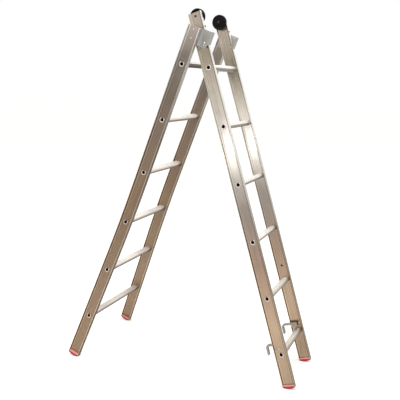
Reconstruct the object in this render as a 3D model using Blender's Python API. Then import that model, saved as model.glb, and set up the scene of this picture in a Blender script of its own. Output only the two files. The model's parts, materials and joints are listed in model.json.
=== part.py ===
"""Two-section multi position aluminium ladder, standing open as a trestle.

The wide base section has guide brackets at its top end. The narrow fly section hangs in them:
it folds about their pivot bolts, and slides along its own rails to extend the ladder.
Metres, +Z up. The origin is on the floor, midway between the outer edges of the feet.
Each section is modelled about the pivot axis: x across its rails towards the back,
y across the ladder (the near side is negative), z up along its rails.
"""

import math

import bmesh
import bpy
from mathutils import Matrix

# Overall sizes
RAIL_LENGTH = 1.978
RUNG_COUNT = 6
RUNG_PITCH = 0.305
BASE_WIDTH = 0.453
FLY_WIDTH = 0.367
OPENING_ANGLE = math.radians(38.0)

# Rail extrusion: a web between two flanges
RAIL_WIDTH = 0.067
BASE_RAIL_DEPTH = 0.027
FLY_RAIL_DEPTH = 0.022
FLANGE = 0.003
WEB = 0.003

# Places along the rails, measured down from a rail's top end
BASE_TOP_TO_PIVOT = 0.065
BASE_TOP_TO_RUNG = 0.196
FLY_TOP_TO_PIVOT = 0.165
FLY_TOP_TO_RUNG = 0.279
FLY_TOP_TO_AXLE = 0.018
FLY_TOP_TO_STOP = 0.079

# The base rails bend outwards low down
SPLAY_START = 0.847
SPLAY_RUN = 0.487
SPLAY_ANGLE = math.radians(5.3)
SPLAY_STEPS = 10

# Rungs: flat tread, round belly, tube ends swaged over the web
RUNG_DEPTH = 0.032
TREAD_HEIGHT = 0.012
BELLY_DEPTH = 0.016
BELLY_START = 0.006
RUNG_BORE = 0.009
SPIGOT_RADIUS = 0.0120
SWAGE_RADIUS = 0.0145
SWAGE_THICKNESS = 0.0025

# Feet
FOOT_RADIUS = 0.075
SOLE_THICKNESS = 0.012
PLUG_HEIGHT = 0.009
FOOT_ARC_STEPS = 14

# Guide brackets and pivots
SHEET = 0.0025
BRACKET_LEG = 0.060
BRACKET_ABOVE_PIVOT = 0.067
BRACKET_BELOW_PIVOT = 0.020
JOGGLE = 0.010
GUIDE_LIP = 0.015
GUIDE_GAP = 0.0048
GUIDE_BEND = GUIDE_GAP + SHEET / 2
LIP_GAP = 0.0015
BACK_GAP = 0.0008
PARK_GAP = 0.0037
BUTTON_RADIUS = 0.0152
BUTTON_THICKNESS = 0.0075
BUTTON_CLEARANCE = 0.0005
PIVOT_RADIUS = 0.005
PIVOT_HEAD_RADIUS = 0.010
PIVOT_HEAD = 0.0045
PIVOT_END_RADIUS = 0.007
PIVOT_END = 0.0019
RIVET_RADIUS = 0.003
RIVET_HEAD_RADIUS = 0.0055
RIVET_HEAD = 0.0022
BRACKET_RIVETS = (0.045, 0.003)

# Wheels
WHEEL_RADIUS = 0.040
WHEEL_WIDTH = 0.022
WHEEL_GAP = 0.003
HUB_RADIUS = 0.018
TREAD_ROUNDING = 0.003
AXLE_RADIUS = 0.005
AXLE_HEAD_RADIUS = 0.0055
AXLE_HEAD = 0.004
AXLE_END = 0.0015
SPACER_RADIUS = 0.009
NUT_RADIUS = 0.009
NUT_THICKNESS = 0.005

# Hooks
HOOK_BAR = 0.010
HOOK_WIDTH = 0.020
HOOK_PLATE = 0.004
HOOK_RISE = 0.054
HOOK_LIP = 0.058
HOOK_BEND = 0.017
HOOK_CLEARANCE = 0.0013
HOOK_PLATE_DROP = 0.028
HOOK_BOLT_MARGIN = 0.0015
HOOK_BOLT_PITCH = 0.020
HOOK_BOLT_EDGE = 0.010
HOOK_BOLT_RADIUS = 0.004
HOOK_BOLT_HEAD_RADIUS = 0.007
HOOK_BOLT_HEAD = 0.004
SPARE_HOLE_RADIUS = 0.0045
SPARE_HOLE_ABOVE_RUNG = 0.083

# Stop screws on the backs of the fly rails
STOP_HEAD_RADIUS = 0.0045
STOP_HEAD = 0.003
STOP_RADIUS = 0.0025

GAP = 0.0003
SEGMENTS = 16
WHEEL_SEGMENTS = 28
SIDES = {"near": -1, "far": 1}

# Sizes that follow
HALF_RAIL = RAIL_WIDTH / 2
BASE_HALF = BASE_WIDTH / 2
FLY_HALF = FLY_WIDTH / 2
BASE_INNER = BASE_HALF - BASE_RAIL_DEPTH
FLY_INNER = FLY_HALF - FLY_RAIL_DEPTH
BASE_WEB = BASE_HALF - BASE_RAIL_DEPTH / 2
FLY_WEB = FLY_HALF - FLY_RAIL_DEPTH / 2

# The front hook bolt's head sits just clear of the rail's front flange
FRONT_BOLT = HOOK_BOLT_HEAD_RADIUS + HOOK_BOLT_MARGIN + FLANGE - HALF_RAIL
HOOK_BOLTS = (FRONT_BOLT, FRONT_BOLT + HOOK_BOLT_PITCH)
HOOK_INBOARD = HOOK_BOLTS[1] + HOOK_BOLT_EDGE

# The pivot button bears on the inside of the fly rail's back flange
FLY_OFFSET = HALF_RAIL - FLANGE - BUTTON_CLEARANCE - BUTTON_RADIUS
PARKED_OFFSET = RUNG_DEPTH / 2 + PARK_GAP + HALF_RAIL
BASE_OFFSET = PARKED_OFFSET + FLY_OFFSET

# Both pairs of feet stand on the floor at the opening angle
FOOT_DROP = SOLE_THICKNESS - FOOT_RADIUS
BASE_REACH = RAIL_LENGTH - BASE_TOP_TO_PIVOT + FOOT_DROP
FLY_REACH = RAIL_LENGTH - FLY_TOP_TO_PIVOT + FOOT_DROP
OPEN_COS = math.cos(OPENING_ANGLE)
OPEN_SIN = math.sin(OPENING_ANGLE)
BASE_LEAN = math.atan2(
    BASE_REACH - FLY_REACH * OPEN_COS - FLY_OFFSET * OPEN_SIN,
    BASE_OFFSET + FLY_REACH * OPEN_SIN - FLY_OFFSET * OPEN_COS,
)
FLY_LEAN = OPENING_ANGLE - BASE_LEAN
PIVOT_HEIGHT = (
    FOOT_RADIUS + BASE_REACH * math.cos(BASE_LEAN) - BASE_OFFSET * math.sin(BASE_LEAN)
)
SOLE_EDGE = math.sqrt(FOOT_RADIUS**2 - HALF_RAIL**2)
FRONT_EDGE = (BASE_OFFSET + HALF_RAIL) * math.cos(BASE_LEAN) + (BASE_REACH + SOLE_EDGE) * math.sin(
    BASE_LEAN
)
BACK_EDGE = (HALF_RAIL - FLY_OFFSET) * math.cos(FLY_LEAN) + (FLY_REACH + SOLE_EDGE) * math.sin(
    FLY_LEAN
)
PIVOT_X = (FRONT_EDGE - BACK_EDGE) / 2


def make_material(name, colour, roughness, metallic):
    material = bpy.data.materials.new(name)
    material.use_nodes = True
    shader = material.node_tree.nodes["Principled BSDF"]
    shader.inputs["Base Color"].default_value = (*colour, 1.0)
    shader.inputs["Roughness"].default_value = roughness
    shader.inputs["Metallic"].default_value = metallic
    return material


def make_section(name, lean):
    """An empty on the pivot axis, leaned about it, that holds one section's pieces."""
    section = bpy.data.objects.new(name, None)
    section.location = (PIVOT_X, 0.0, PIVOT_HEIGHT)
    section.rotation_euler = (0.0, lean, 0.0)
    bpy.context.scene.collection.objects.link(section)
    return section


def add_object(name, mesh, material, section, location=(0.0, 0.0, 0.0)):
    """Link one named piece to its section, smooth where its faces meet at a low angle."""
    if not mesh.materials:
        mesh.materials.append(material)
    mesh.shade_smooth()
    mesh.set_sharp_from_angle(angle=math.radians(35))
    piece = bpy.data.objects.new(name, mesh)
    piece.parent = section
    piece.location = location
    bpy.context.scene.collection.objects.link(piece)
    return piece


def to_mesh(bm, name):
    bm.normal_update()
    bmesh.ops.recalc_face_normals(bm, faces=bm.faces)
    mesh = bpy.data.meshes.new(name)
    bm.to_mesh(mesh)
    bm.free()
    return mesh


def loft(rings, closed=False):
    """A bmesh through rings with the same number of points, capped unless it closes on itself."""
    bm = bmesh.new()
    loops = [[bm.verts.new(point) for point in ring] for ring in rings]
    count = len(rings[0])
    pairs = list(zip(loops, loops[1:]))
    if closed:
        pairs.append((loops[-1], loops[0]))
    bands = []
    for lower, upper in pairs:
        band = []
        for i in range(count):
            j = (i + 1) % count
            band.append(bm.faces.new((lower[i], lower[j], upper[j], upper[i])))
        bands.append(band)
    if not closed:
        bm.faces.new(loops[0])
        bm.faces.new(loops[-1])
    return bm, bands


def turned(profile, hollow=False, segments=SEGMENTS):
    """A shape turned about the y axis through (radius, y) points, with a bore if hollow."""
    rings = []
    for radius, y in profile:
        ring = []
        for i in range(segments):
            angle = math.tau * i / segments
            ring.append((radius * math.cos(angle), y, radius * math.sin(angle)))
        rings.append(ring)
    return loft(rings, closed=hollow)[0]


def prism(outline, levels):
    """An (x, z) outline carried along y through the given levels."""
    return loft([[(x, y, z) for x, z in outline] for y in levels])


def spread(z):
    """How far a base rail has bent outwards at height z from the pivot."""
    along = BASE_TOP_TO_PIVOT - z - SPLAY_START
    if along <= 0:
        return 0.0
    radius = SPLAY_RUN / SPLAY_ANGLE
    if along < SPLAY_RUN:
        return radius * (1 - math.cos(along / radius))
    return radius * (1 - math.cos(SPLAY_ANGLE)) + (along - SPLAY_RUN) * math.tan(SPLAY_ANGLE)


def splay(bm, z_origin):
    """Carry every point outwards with the base rail beside it."""
    for vert in bm.verts:
        vert.co.y += math.copysign(spread(z_origin + vert.co.z), vert.co.y)


def cut(piece, cutter):
    modifier = piece.modifiers.new("holes", "BOOLEAN")
    modifier.operation = "DIFFERENCE"
    modifier.solver = "EXACT"
    modifier.object = cutter


def make_cutter(name, section, holes, start, end, cross_hole=None):
    """One hidden helper with a rod from y start to y end for each (x, z, radius) hole.

    A cross hole is one more rod, of (radius, half length), laid along x at a (x, y, z) place.
    """
    rods = []
    for x, z, radius in holes:
        rod = turned([(radius, start), (radius, end)])
        bmesh.ops.translate(rod, verts=rod.verts, vec=(x, 0.0, z))
        rods.append(rod)
    if cross_hole:
        radius, reach, place = cross_hole
        rod = turned([(radius, -reach), (radius, reach)])
        quarter_turn = Matrix.Rotation(-math.pi / 2, 3, "Z")
        bmesh.ops.rotate(rod, verts=rod.verts, matrix=quarter_turn)
        bmesh.ops.translate(rod, verts=rod.verts, vec=place)
        rods.append(rod)
    bm = bmesh.new()
    for rod in rods:
        mesh = to_mesh(rod, "rod")
        bm.from_mesh(mesh)
        bpy.data.meshes.remove(mesh)
    cutter = bpy.data.objects.new(name, to_mesh(bm, name))
    cutter.parent = section
    cutter.hide_render = True
    cutter.display_type = "WIRE"
    bpy.context.scene.collection.objects.link(cutter)
    return cutter


def rail_outline(depth):
    """The extrusion's outline as (x, depth from the outer face) points."""
    inside = HALF_RAIL - FLANGE
    web_out = (depth - WEB) / 2
    web_in = (depth + WEB) / 2
    half = [(inside, web_out), (inside, 0.0), (HALF_RAIL, 0.0)]
    half += [(HALF_RAIL, depth), (inside, depth), (inside, web_in)]
    return half + [(-x, d) for x, d in reversed(half)]


def rail_mesh(name, side, half_width, depth, offset, heights, bend):
    rings = []
    for z in heights:
        ring = []
        for x, inwards in rail_outline(depth):
            ring.append((x - offset, side * (half_width - inwards + bend(z)), z))
        rings.append(ring)
    return to_mesh(loft(rings)[0], name)


def rung_outline():
    """Half-open D: a flat tread, upright sides and a round belly, as (x, z) points."""
    half = RUNG_DEPTH / 2
    points = [(half * (1 - i / 2), TREAD_HEIGHT) for i in range(4)]
    points += [(-half, TREAD_HEIGHT), (-half, (TREAD_HEIGHT - BELLY_START) / 2)]
    drop = BELLY_DEPTH - BELLY_START
    for i in range(9):
        angle = math.pi + math.pi * i / 8
        points.append((half * math.cos(angle), -BELLY_START + drop * math.sin(angle)))
    points.append((half, (TREAD_HEIGHT - BELLY_START) / 2))
    return points


def rung_bmesh(web_centre):
    """A rung with a bore right through, shouldered against the webs and swaged over outside."""
    outline = rung_outline()
    angles = [math.atan2(z, x) for x, z in outline]

    def ring(y, radius=None):
        if radius is None:
            return [(x, y, z) for x, z in outline]
        return [(radius * math.cos(a), y, radius * math.sin(a)) for a in angles]

    shoulder = web_centre - WEB / 2 - GAP
    swage_in = web_centre + WEB / 2 + GAP
    swage_out = swage_in + SWAGE_THICKNESS
    half = [
        ring(swage_out, RUNG_BORE),
        ring(swage_out, SWAGE_RADIUS),
        ring(swage_in, SWAGE_RADIUS),
        ring(swage_in, SPIGOT_RADIUS),
        ring(shoulder, SPIGOT_RADIUS),
        ring(shoulder),
    ]
    other = [[(x, -y, z) for x, y, z in points] for points in reversed(half)]
    return loft(half + other, closed=True)[0]


def foot_mesh(name, side, half_width, depth, z_end, bend):
    """A sole with a rocker underside, and a plug up into the channel on each side of the web."""
    plug = HALF_RAIL - FLANGE - GAP
    top = -GAP
    start = math.asin(HALF_RAIL / FOOT_RADIUS)
    outline = [(HALF_RAIL, top), (plug, top), (-plug, top), (-HALF_RAIL, top)]
    for i in range(FOOT_ARC_STEPS + 1):
        angle = start * (2 * i / FOOT_ARC_STEPS - 1)
        z = -SOLE_THICKNESS + FOOT_RADIUS * (1 - math.cos(angle))
        outline.append((FOOT_RADIUS * math.sin(angle), z))
    slot = WEB / 2 + GAP
    levels = [0.0, depth / 2 - slot, depth / 2 + slot, depth]
    bm, bands = prism(outline, levels)
    raised = bmesh.ops.extrude_discrete_faces(bm, faces=[bands[0][1], bands[2][1]])
    for face in raised["faces"]:
        bmesh.ops.translate(bm, verts=face.verts, vec=(0.0, 0.0, PLUG_HEIGHT))
    for vert in bm.verts:
        z = z_end + vert.co.z
        vert.co.y = side * (half_width - vert.co.y + bend(z))
        vert.co.z = z
    return to_mesh(bm, name)


def folded_sheet(route, top, bottoms):
    """Sheet folded along (x, y) route points, from one top height down to each point's own."""
    count = len(route)
    normals = []
    for i in range(count):
        before = route[max(i - 1, 0)]
        here = route[i]
        after = route[min(i + 1, count - 1)]
        first = math.atan2(here[1] - before[1], here[0] - before[0]) if i else None
        last = math.atan2(after[1] - here[1], after[0] - here[0]) if i < count - 1 else None
        first = last if first is None else first
        last = first if last is None else last
        turn = math.remainder(last - first, math.tau) / 2
        angle = first + turn + math.pi / 2
        reach = SHEET / 2 / math.cos(turn)
        normals.append((reach * math.cos(angle), reach * math.sin(angle)))
    rings = []
    for (x, y), (nx, ny), bottom in zip(route, normals, bottoms):
        rings.append(
            [
                (x + nx, y + ny, bottom),
                (x + nx, y + ny, top),
                (x - nx, y - ny, top),
                (x - nx, y - ny, bottom),
            ]
        )
    return loft(rings)[0]


def bracket_mesh(name, side):
    """Leg on the base rail, joggle in, guide wall, back wall behind the fly rail, short lip."""
    leg = BASE_INNER - GAP - SHEET / 2
    wall = FLY_HALF + GUIDE_GAP + SHEET / 2
    lip = FLY_INNER - LIP_GAP - SHEET / 2
    back_face = PARKED_OFFSET + HALF_RAIL + BACK_GAP
    back = back_face + SHEET / 2
    below = -BRACKET_BELOW_PIVOT
    fly_face = HALF_RAIL - FLY_OFFSET
    stop = (fly_face + GAP - (back_face - BASE_OFFSET) * OPEN_COS) / OPEN_SIN
    joggle_start = HALF_RAIL + SHEET
    points = [
        (joggle_start - BRACKET_LEG, leg, below),
        (joggle_start, leg, below),
        (joggle_start + JOGGLE, wall, below),
        (back - GUIDE_BEND, wall, below),
    ]
    for i in (1, 2, 3):
        angle = math.pi / 2 * i / 3
        x = back - GUIDE_BEND + GUIDE_BEND * math.sin(angle)
        y = wall - GUIDE_BEND + GUIDE_BEND * math.cos(angle)
        points.append((x, y, stop))
    points += [(back, lip, stop), (back - GUIDE_LIP, lip, stop)]
    route = [(x - BASE_OFFSET, side * y) for x, y, _ in points]
    return to_mesh(folded_sheet(route, BRACKET_ABOVE_PIVOT, [p[2] for p in points]), name)


def rivet_profile(outer, inner, radius, head_radius, head):
    """Shank between two heads that sit outside the outer and inner faces, in y."""
    return [
        (head_radius * 0.6, outer + GAP + head),
        (head_radius, outer + GAP + head / 2),
        (head_radius, outer + GAP),
        (radius, outer + GAP),
        (radius, inner - GAP),
        (head_radius, inner - GAP),
        (head_radius, inner - GAP - head / 2),
        (head_radius * 0.6, inner - GAP - head),
    ]


def mirrored(profile, side):
    return [(radius, side * y) for radius, y in profile]


def hook_mesh(name, side):
    """A bar bent down into a lip, standing on a plate that lies against the fly rail."""
    face = -HALF_RAIL
    lip_inner = face - PARK_GAP - RUNG_DEPTH - HOOK_CLEARANCE
    lip_outer = lip_inner - HOOK_BAR
    bend_in = HOOK_BEND - HOOK_BAR
    tip = -HOOK_LIP
    outline = [(HOOK_INBOARD, 0.0)]
    for i in range(6):
        angle = math.pi / 2 + math.pi / 2 * i / 5
        x = lip_outer + HOOK_BEND + HOOK_BEND * math.cos(angle)
        outline.append((x, -HOOK_BEND + HOOK_BEND * math.sin(angle)))
    for i in range(5):
        angle = math.pi + math.pi * i / 4
        x = (lip_outer + lip_inner) / 2 + HOOK_BAR / 2 * math.cos(angle)
        outline.append((x, tip + HOOK_BAR / 2 + HOOK_BAR / 2 * math.sin(angle)))
    for i in range(4):
        angle = math.pi - math.pi / 2 * i / 3
        x = lip_inner + bend_in + bend_in * math.cos(angle)
        outline.append((x, -HOOK_BEND + bend_in * math.sin(angle)))
    outline += [(face + GAP, -HOOK_BAR), (HOOK_INBOARD, -HOOK_BAR)]
    outer = FLY_INNER - GAP
    levels = [side * outer, side * (outer - HOOK_PLATE), side * (outer - HOOK_WIDTH)]
    bm, bands = prism(outline, levels)
    drop = bmesh.ops.extrude_discrete_faces(bm, faces=[bands[0][-2]])["faces"][0]
    bmesh.ops.translate(bm, verts=drop.verts, vec=(0.0, 0.0, HOOK_BAR - HOOK_PLATE_DROP))
    return to_mesh(bm, name)


def build_rails(sections, material):
    base_top = BASE_TOP_TO_PIVOT
    bend_top = base_top - SPLAY_START
    heights = [base_top]
    heights += [bend_top - SPLAY_RUN * i / SPLAY_STEPS for i in range(SPLAY_STEPS + 1)]
    heights.append(base_top - RAIL_LENGTH)
    rung_hole = SPIGOT_RADIUS + GAP
    base_holes = [(-BASE_OFFSET, z, rung_hole) for z in base_rung_heights()]
    base_holes += [(-BASE_OFFSET, z, RIVET_RADIUS + GAP) for z in BRACKET_RIVETS]
    base_cutter = make_cutter(
        "base_rail_holes", sections["base"], base_holes, -BASE_WIDTH, BASE_WIDTH
    )
    fly_holes = [(-FLY_OFFSET, z, rung_hole) for z in fly_rung_heights()]
    fly_holes.append((-FLY_OFFSET, FLY_TOP_TO_PIVOT - FLY_TOP_TO_AXLE, AXLE_RADIUS + GAP))
    for x in HOOK_BOLTS:
        fly_holes.append((x - FLY_OFFSET, hook_bolt_height(), HOOK_BOLT_RADIUS + GAP))
    spare = fly_rung_heights()[RUNG_COUNT - 2] + SPARE_HOLE_ABOVE_RUNG
    fly_top = FLY_TOP_TO_PIVOT
    for label, side in SIDES.items():
        mesh = rail_mesh(
            "base_rail", side, BASE_HALF, BASE_RAIL_DEPTH, BASE_OFFSET, heights, spread
        )
        rail = add_object(f"base_rail_{label}", mesh, material["base"], sections["base"])
        cut(rail, base_cutter)
        mesh = rail_mesh(
            "fly_rail",
            side,
            FLY_HALF,
            FLY_RAIL_DEPTH,
            FLY_OFFSET,
            [fly_top, fly_top - RAIL_LENGTH],
            lambda z: 0.0,
        )
        rail = add_object(f"fly_rail_{label}", mesh, material["fly"], sections["fly"])
        holes = list(fly_holes)
        if label == "far":
            holes.append((-FLY_OFFSET, spare, SPARE_HOLE_RADIUS))
        stop_hole = (STOP_RADIUS + GAP, FLANGE * 2, stop_place(side))
        name = f"fly_rail_holes_{label}"
        reach = sorted((0.0, side * FLY_WIDTH))
        cut(rail, make_cutter(name, sections["fly"], holes, *reach, stop_hole))


def stop_place(side):
    """Where the stop screw meets the back face of the fly rail, on the inner half of its flange."""
    y = (FLY_INNER + FLY_WEB - WEB / 2) / 2
    return (HALF_RAIL - FLY_OFFSET, side * y, FLY_TOP_TO_PIVOT - FLY_TOP_TO_STOP)


def base_rung_heights():
    first = BASE_TOP_TO_PIVOT - BASE_TOP_TO_RUNG
    return [first - RUNG_PITCH * i for i in range(RUNG_COUNT)]


def fly_rung_heights():
    first = FLY_TOP_TO_PIVOT - FLY_TOP_TO_RUNG
    return [first - RUNG_PITCH * i for i in range(RUNG_COUNT)]


def hook_height():
    return fly_rung_heights()[-1] + HOOK_RISE


def hook_bolt_height():
    return hook_height() - (HOOK_BAR + HOOK_PLATE_DROP) / 2


def build_rungs(sections, material):
    for i, z in enumerate(base_rung_heights()):
        bm = rung_bmesh(BASE_WEB)
        splay(bm, z)
        name = f"base_rung_{i + 1}"
        place = (-BASE_OFFSET, 0.0, z)
        add_object(name, to_mesh(bm, name), material["rung"], sections["base"], place)
    shared = to_mesh(rung_bmesh(FLY_WEB), "fly_rung")
    for i, z in enumerate(fly_rung_heights()):
        place = (-FLY_OFFSET, 0.0, z)
        add_object(f"fly_rung_{i + 1}", shared, material["rung"], sections["fly"], place)


def build_feet(sections, material):
    for label, side in SIDES.items():
        z_end = BASE_TOP_TO_PIVOT - RAIL_LENGTH
        mesh = foot_mesh("base_foot", side, BASE_HALF, BASE_RAIL_DEPTH, z_end, spread)
        place = (-BASE_OFFSET, 0.0, 0.0)
        add_object(f"base_foot_{label}", mesh, material["foot"], sections["base"], place)
        z_end = FLY_TOP_TO_PIVOT - RAIL_LENGTH
        mesh = foot_mesh("fly_foot", side, FLY_HALF, FLY_RAIL_DEPTH, z_end, lambda z: 0.0)
        place = (-FLY_OFFSET, 0.0, 0.0)
        add_object(f"fly_foot_{label}", mesh, material["foot"], sections["fly"], place)


def build_brackets(sections, material):
    pivot_hole = [(0.0, 0.0, PIVOT_RADIUS + GAP)]
    rivet_holes = [(-BASE_OFFSET, z, RIVET_RADIUS + GAP) for z in BRACKET_RIVETS]
    cutter = make_cutter(
        "bracket_holes", sections["base"], pivot_hole + rivet_holes, -BASE_WIDTH, BASE_WIDTH
    )
    web_face = BASE_WEB + WEB / 2
    leg_face = BASE_INNER - GAP - SHEET
    wall_out = FLY_HALF + GUIDE_GAP + SHEET
    wall_in = FLY_HALF + GUIDE_GAP
    button_out = wall_in - GAP
    button_in = button_out - BUTTON_THICKNESS
    bore = PIVOT_RADIUS + GAP
    for label, side in SIDES.items():
        mesh = bracket_mesh("guide_bracket", side)
        bracket = add_object(
            f"guide_bracket_{label}", mesh, material["bracket"], sections["base"]
        )
        cut(bracket, cutter)
        rivet = rivet_profile(web_face, leg_face, RIVET_RADIUS, RIVET_HEAD_RADIUS, RIVET_HEAD)
        shared = to_mesh(turned(mirrored(rivet, side), segments=12), "bracket_rivet")
        for word, z in zip(("upper", "lower"), BRACKET_RIVETS):
            name = f"bracket_rivet_{word}_{label}"
            place = (-BASE_OFFSET, 0.0, z)
            add_object(name, shared, material["rivet"], sections["base"], place)
        bolt = [
            (PIVOT_HEAD_RADIUS * 0.8, wall_out + GAP + PIVOT_HEAD),
            (PIVOT_HEAD_RADIUS, wall_out + GAP + PIVOT_HEAD * 0.6),
            (PIVOT_HEAD_RADIUS, wall_out + GAP),
            (PIVOT_RADIUS, wall_out + GAP),
            (PIVOT_RADIUS, button_in - GAP),
            (PIVOT_END_RADIUS, button_in - GAP),
            (PIVOT_END_RADIUS, button_in - GAP - PIVOT_END),
        ]
        mesh = to_mesh(turned(mirrored(bolt, side)), "pivot_bolt")
        add_object(f"pivot_bolt_{label}", mesh, material["bolt"], sections["fly"])
        button = [
            (bore, button_out),
            (BUTTON_RADIUS, button_out),
            (BUTTON_RADIUS, button_in),
            (bore, button_in),
        ]
        mesh = to_mesh(turned(mirrored(button, side), hollow=True, segments=24), "button")
        add_object(f"pivot_button_{label}", mesh, material["nylon"], sections["fly"])


def build_wheels(sections, material):
    """Each piece has its origin on the axle's centre line, at the rail's web."""
    web_out = WEB / 2
    web_in = -WEB / 2
    face = FLY_INNER - WHEEL_GAP - FLY_WEB
    end = face - WHEEL_WIDTH
    nut = end - GAP
    bore = AXLE_RADIUS + GAP
    lug = HUB_RADIUS + GAP
    round_off = TREAD_ROUNDING
    axle = [
        (AXLE_HEAD_RADIUS * 0.8, web_out + GAP + AXLE_HEAD),
        (AXLE_HEAD_RADIUS, web_out + GAP + AXLE_HEAD * 0.7),
        (AXLE_HEAD_RADIUS, web_out + GAP),
        (AXLE_RADIUS, web_out + GAP),
        (AXLE_RADIUS, nut - NUT_THICKNESS - AXLE_END),
    ]
    spacer = [
        (bore, web_in - GAP),
        (SPACER_RADIUS, web_in - GAP),
        (SPACER_RADIUS, face + GAP),
        (bore, face + GAP),
    ]
    hub = [(bore, face), (HUB_RADIUS, face), (HUB_RADIUS, end), (bore, end)]
    tyre = [
        (lug, face),
        (WHEEL_RADIUS - round_off, face),
        (WHEEL_RADIUS, face - round_off),
        (WHEEL_RADIUS, end + round_off),
        (WHEEL_RADIUS - round_off, end),
        (lug, end),
    ]
    nut_bore = bore / math.cos(math.pi / 6)
    axle_nut = [
        (nut_bore, nut),
        (NUT_RADIUS, nut),
        (NUT_RADIUS, nut - NUT_THICKNESS),
        (nut_bore, nut - NUT_THICKNESS),
    ]
    pieces = (
        ("wheel_axle", axle, "axle", False, SEGMENTS),
        ("wheel_spacer", spacer, "rivet", True, SEGMENTS),
        ("wheel_hub", hub, "hub", True, WHEEL_SEGMENTS),
        ("wheel_tyre", tyre, "tyre", True, WHEEL_SEGMENTS),
        ("axle_nut", axle_nut, "bolt", True, 6),
    )
    z = FLY_TOP_TO_PIVOT - FLY_TOP_TO_AXLE
    for label, side in SIDES.items():
        place = (-FLY_OFFSET, side * FLY_WEB, z)
        for name, profile, look, hollow, segments in pieces:
            bm = turned(mirrored(profile, side), hollow, segments)
            mesh = to_mesh(bm, name)
            add_object(f"{name}_{label}", mesh, material[look], sections["fly"], place)


def build_hooks(sections, material):
    holes = [(x - FLY_OFFSET, hook_bolt_height(), HOOK_BOLT_RADIUS + GAP) for x in HOOK_BOLTS]
    cutter = make_cutter("hook_holes", sections["fly"], holes, -FLY_WIDTH, FLY_WIDTH)
    web_face = FLY_WEB + WEB / 2
    plate_face = FLY_INNER - GAP - HOOK_PLATE
    bolt = rivet_profile(
        web_face, plate_face, HOOK_BOLT_RADIUS, HOOK_BOLT_HEAD_RADIUS, HOOK_BOLT_HEAD
    )
    for label, side in SIDES.items():
        place = (-FLY_OFFSET, 0.0, hook_height())
        mesh = hook_mesh("rung_hook", side)
        hook = add_object(f"rung_hook_{label}", mesh, material["steel"], sections["fly"], place)
        cut(hook, cutter)
        shared = to_mesh(turned(mirrored(bolt, side), segments=12), "hook_bolt")
        for word, x in zip(("front", "back"), HOOK_BOLTS):
            place = (x - FLY_OFFSET, 0.0, hook_bolt_height())
            name = f"hook_bolt_{word}_{label}"
            add_object(name, shared, material["bolt"], sections["fly"], place)


def build_stop_screws(sections, material):
    """Screws whose heads stand behind the fly rails and land on the brackets' top edges."""
    profile = [
        (STOP_HEAD_RADIUS * 0.7, STOP_HEAD + GAP),
        (STOP_HEAD_RADIUS, STOP_HEAD / 2),
        (STOP_HEAD_RADIUS, GAP),
        (STOP_RADIUS, GAP),
        (STOP_RADIUS, -FLANGE),
    ]
    shared = to_mesh(turned(profile, segments=12), "stop_screw")
    for label, side in SIDES.items():
        name = f"fly_stop_screw_{label}"
        screw = add_object(name, shared, material["axle"], sections["fly"], stop_place(side))
        screw.rotation_euler = (0.0, 0.0, -math.pi / 2)


def build():
    for old in list(bpy.data.objects):
        bpy.data.objects.remove(old)
    material = {
        "base": make_material("base_aluminium", (0.31, 0.25, 0.20), 0.42, 0.85),
        "fly": make_material("fly_aluminium", (0.50, 0.43, 0.37), 0.38, 0.85),
        "rung": make_material("rung_aluminium", (0.78, 0.72, 0.65), 0.40, 0.80),
        "foot": make_material("red_rubber", (0.45, 0.03, 0.05), 0.55, 0.0),
        "bracket": make_material("bracket_aluminium", (0.55, 0.54, 0.50), 0.40, 0.85),
        "rivet": make_material("rivet_aluminium", (0.60, 0.58, 0.55), 0.35, 0.90),
        "bolt": make_material("plated_steel", (0.55, 0.53, 0.50), 0.35, 0.95),
        "nylon": make_material("pale_nylon", (0.70, 0.68, 0.62), 0.50, 0.0),
        "axle": make_material("black_steel", (0.03, 0.03, 0.03), 0.45, 0.60),
        "hub": make_material("black_plastic", (0.02, 0.02, 0.02), 0.45, 0.0),
        "tyre": make_material("black_rubber", (0.015, 0.015, 0.015), 0.60, 0.0),
        "steel": make_material("grey_steel", (0.30, 0.30, 0.29), 0.45, 0.90),
    }
    sections = {
        "base": make_section("base_section", BASE_LEAN),
        "fly": make_section("fly_section", -FLY_LEAN),
    }
    build_rails(sections, material)
    build_rungs(sections, material)
    build_feet(sections, material)
    build_brackets(sections, material)
    build_wheels(sections, material)
    build_hooks(sections, material)
    build_stop_screws(sections, material)


build()
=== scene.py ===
"""Two-section multi position aluminium ladder, standing open as a trestle.

The sections below follow the ladder as it is put together: the wide base section, the guide
brackets on its top ends, the narrow fly section that hangs in them, and the fly's fittings.
"""

import json
import math

import bmesh
import bpy
from mathutils import Matrix, Vector


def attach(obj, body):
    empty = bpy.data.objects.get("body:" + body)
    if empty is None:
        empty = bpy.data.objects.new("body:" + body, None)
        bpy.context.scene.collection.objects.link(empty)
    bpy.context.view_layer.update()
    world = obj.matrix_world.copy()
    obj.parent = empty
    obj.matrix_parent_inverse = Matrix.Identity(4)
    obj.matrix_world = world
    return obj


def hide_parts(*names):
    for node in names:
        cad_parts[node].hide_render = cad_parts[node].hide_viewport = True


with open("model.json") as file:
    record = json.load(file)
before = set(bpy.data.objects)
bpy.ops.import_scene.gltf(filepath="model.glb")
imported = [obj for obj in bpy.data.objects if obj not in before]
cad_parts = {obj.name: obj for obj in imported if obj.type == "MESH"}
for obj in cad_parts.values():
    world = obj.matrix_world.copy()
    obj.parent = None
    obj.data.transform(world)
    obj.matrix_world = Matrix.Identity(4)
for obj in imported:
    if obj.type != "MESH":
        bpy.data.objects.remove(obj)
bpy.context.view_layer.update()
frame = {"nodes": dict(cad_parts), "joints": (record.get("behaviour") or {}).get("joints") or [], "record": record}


# The pivot axis
# Both sections hang on one line of pivot bolts. Each is laid out about it: x across its rails
# towards the back, y across the ladder with the near side negative, z up along its rails.

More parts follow.
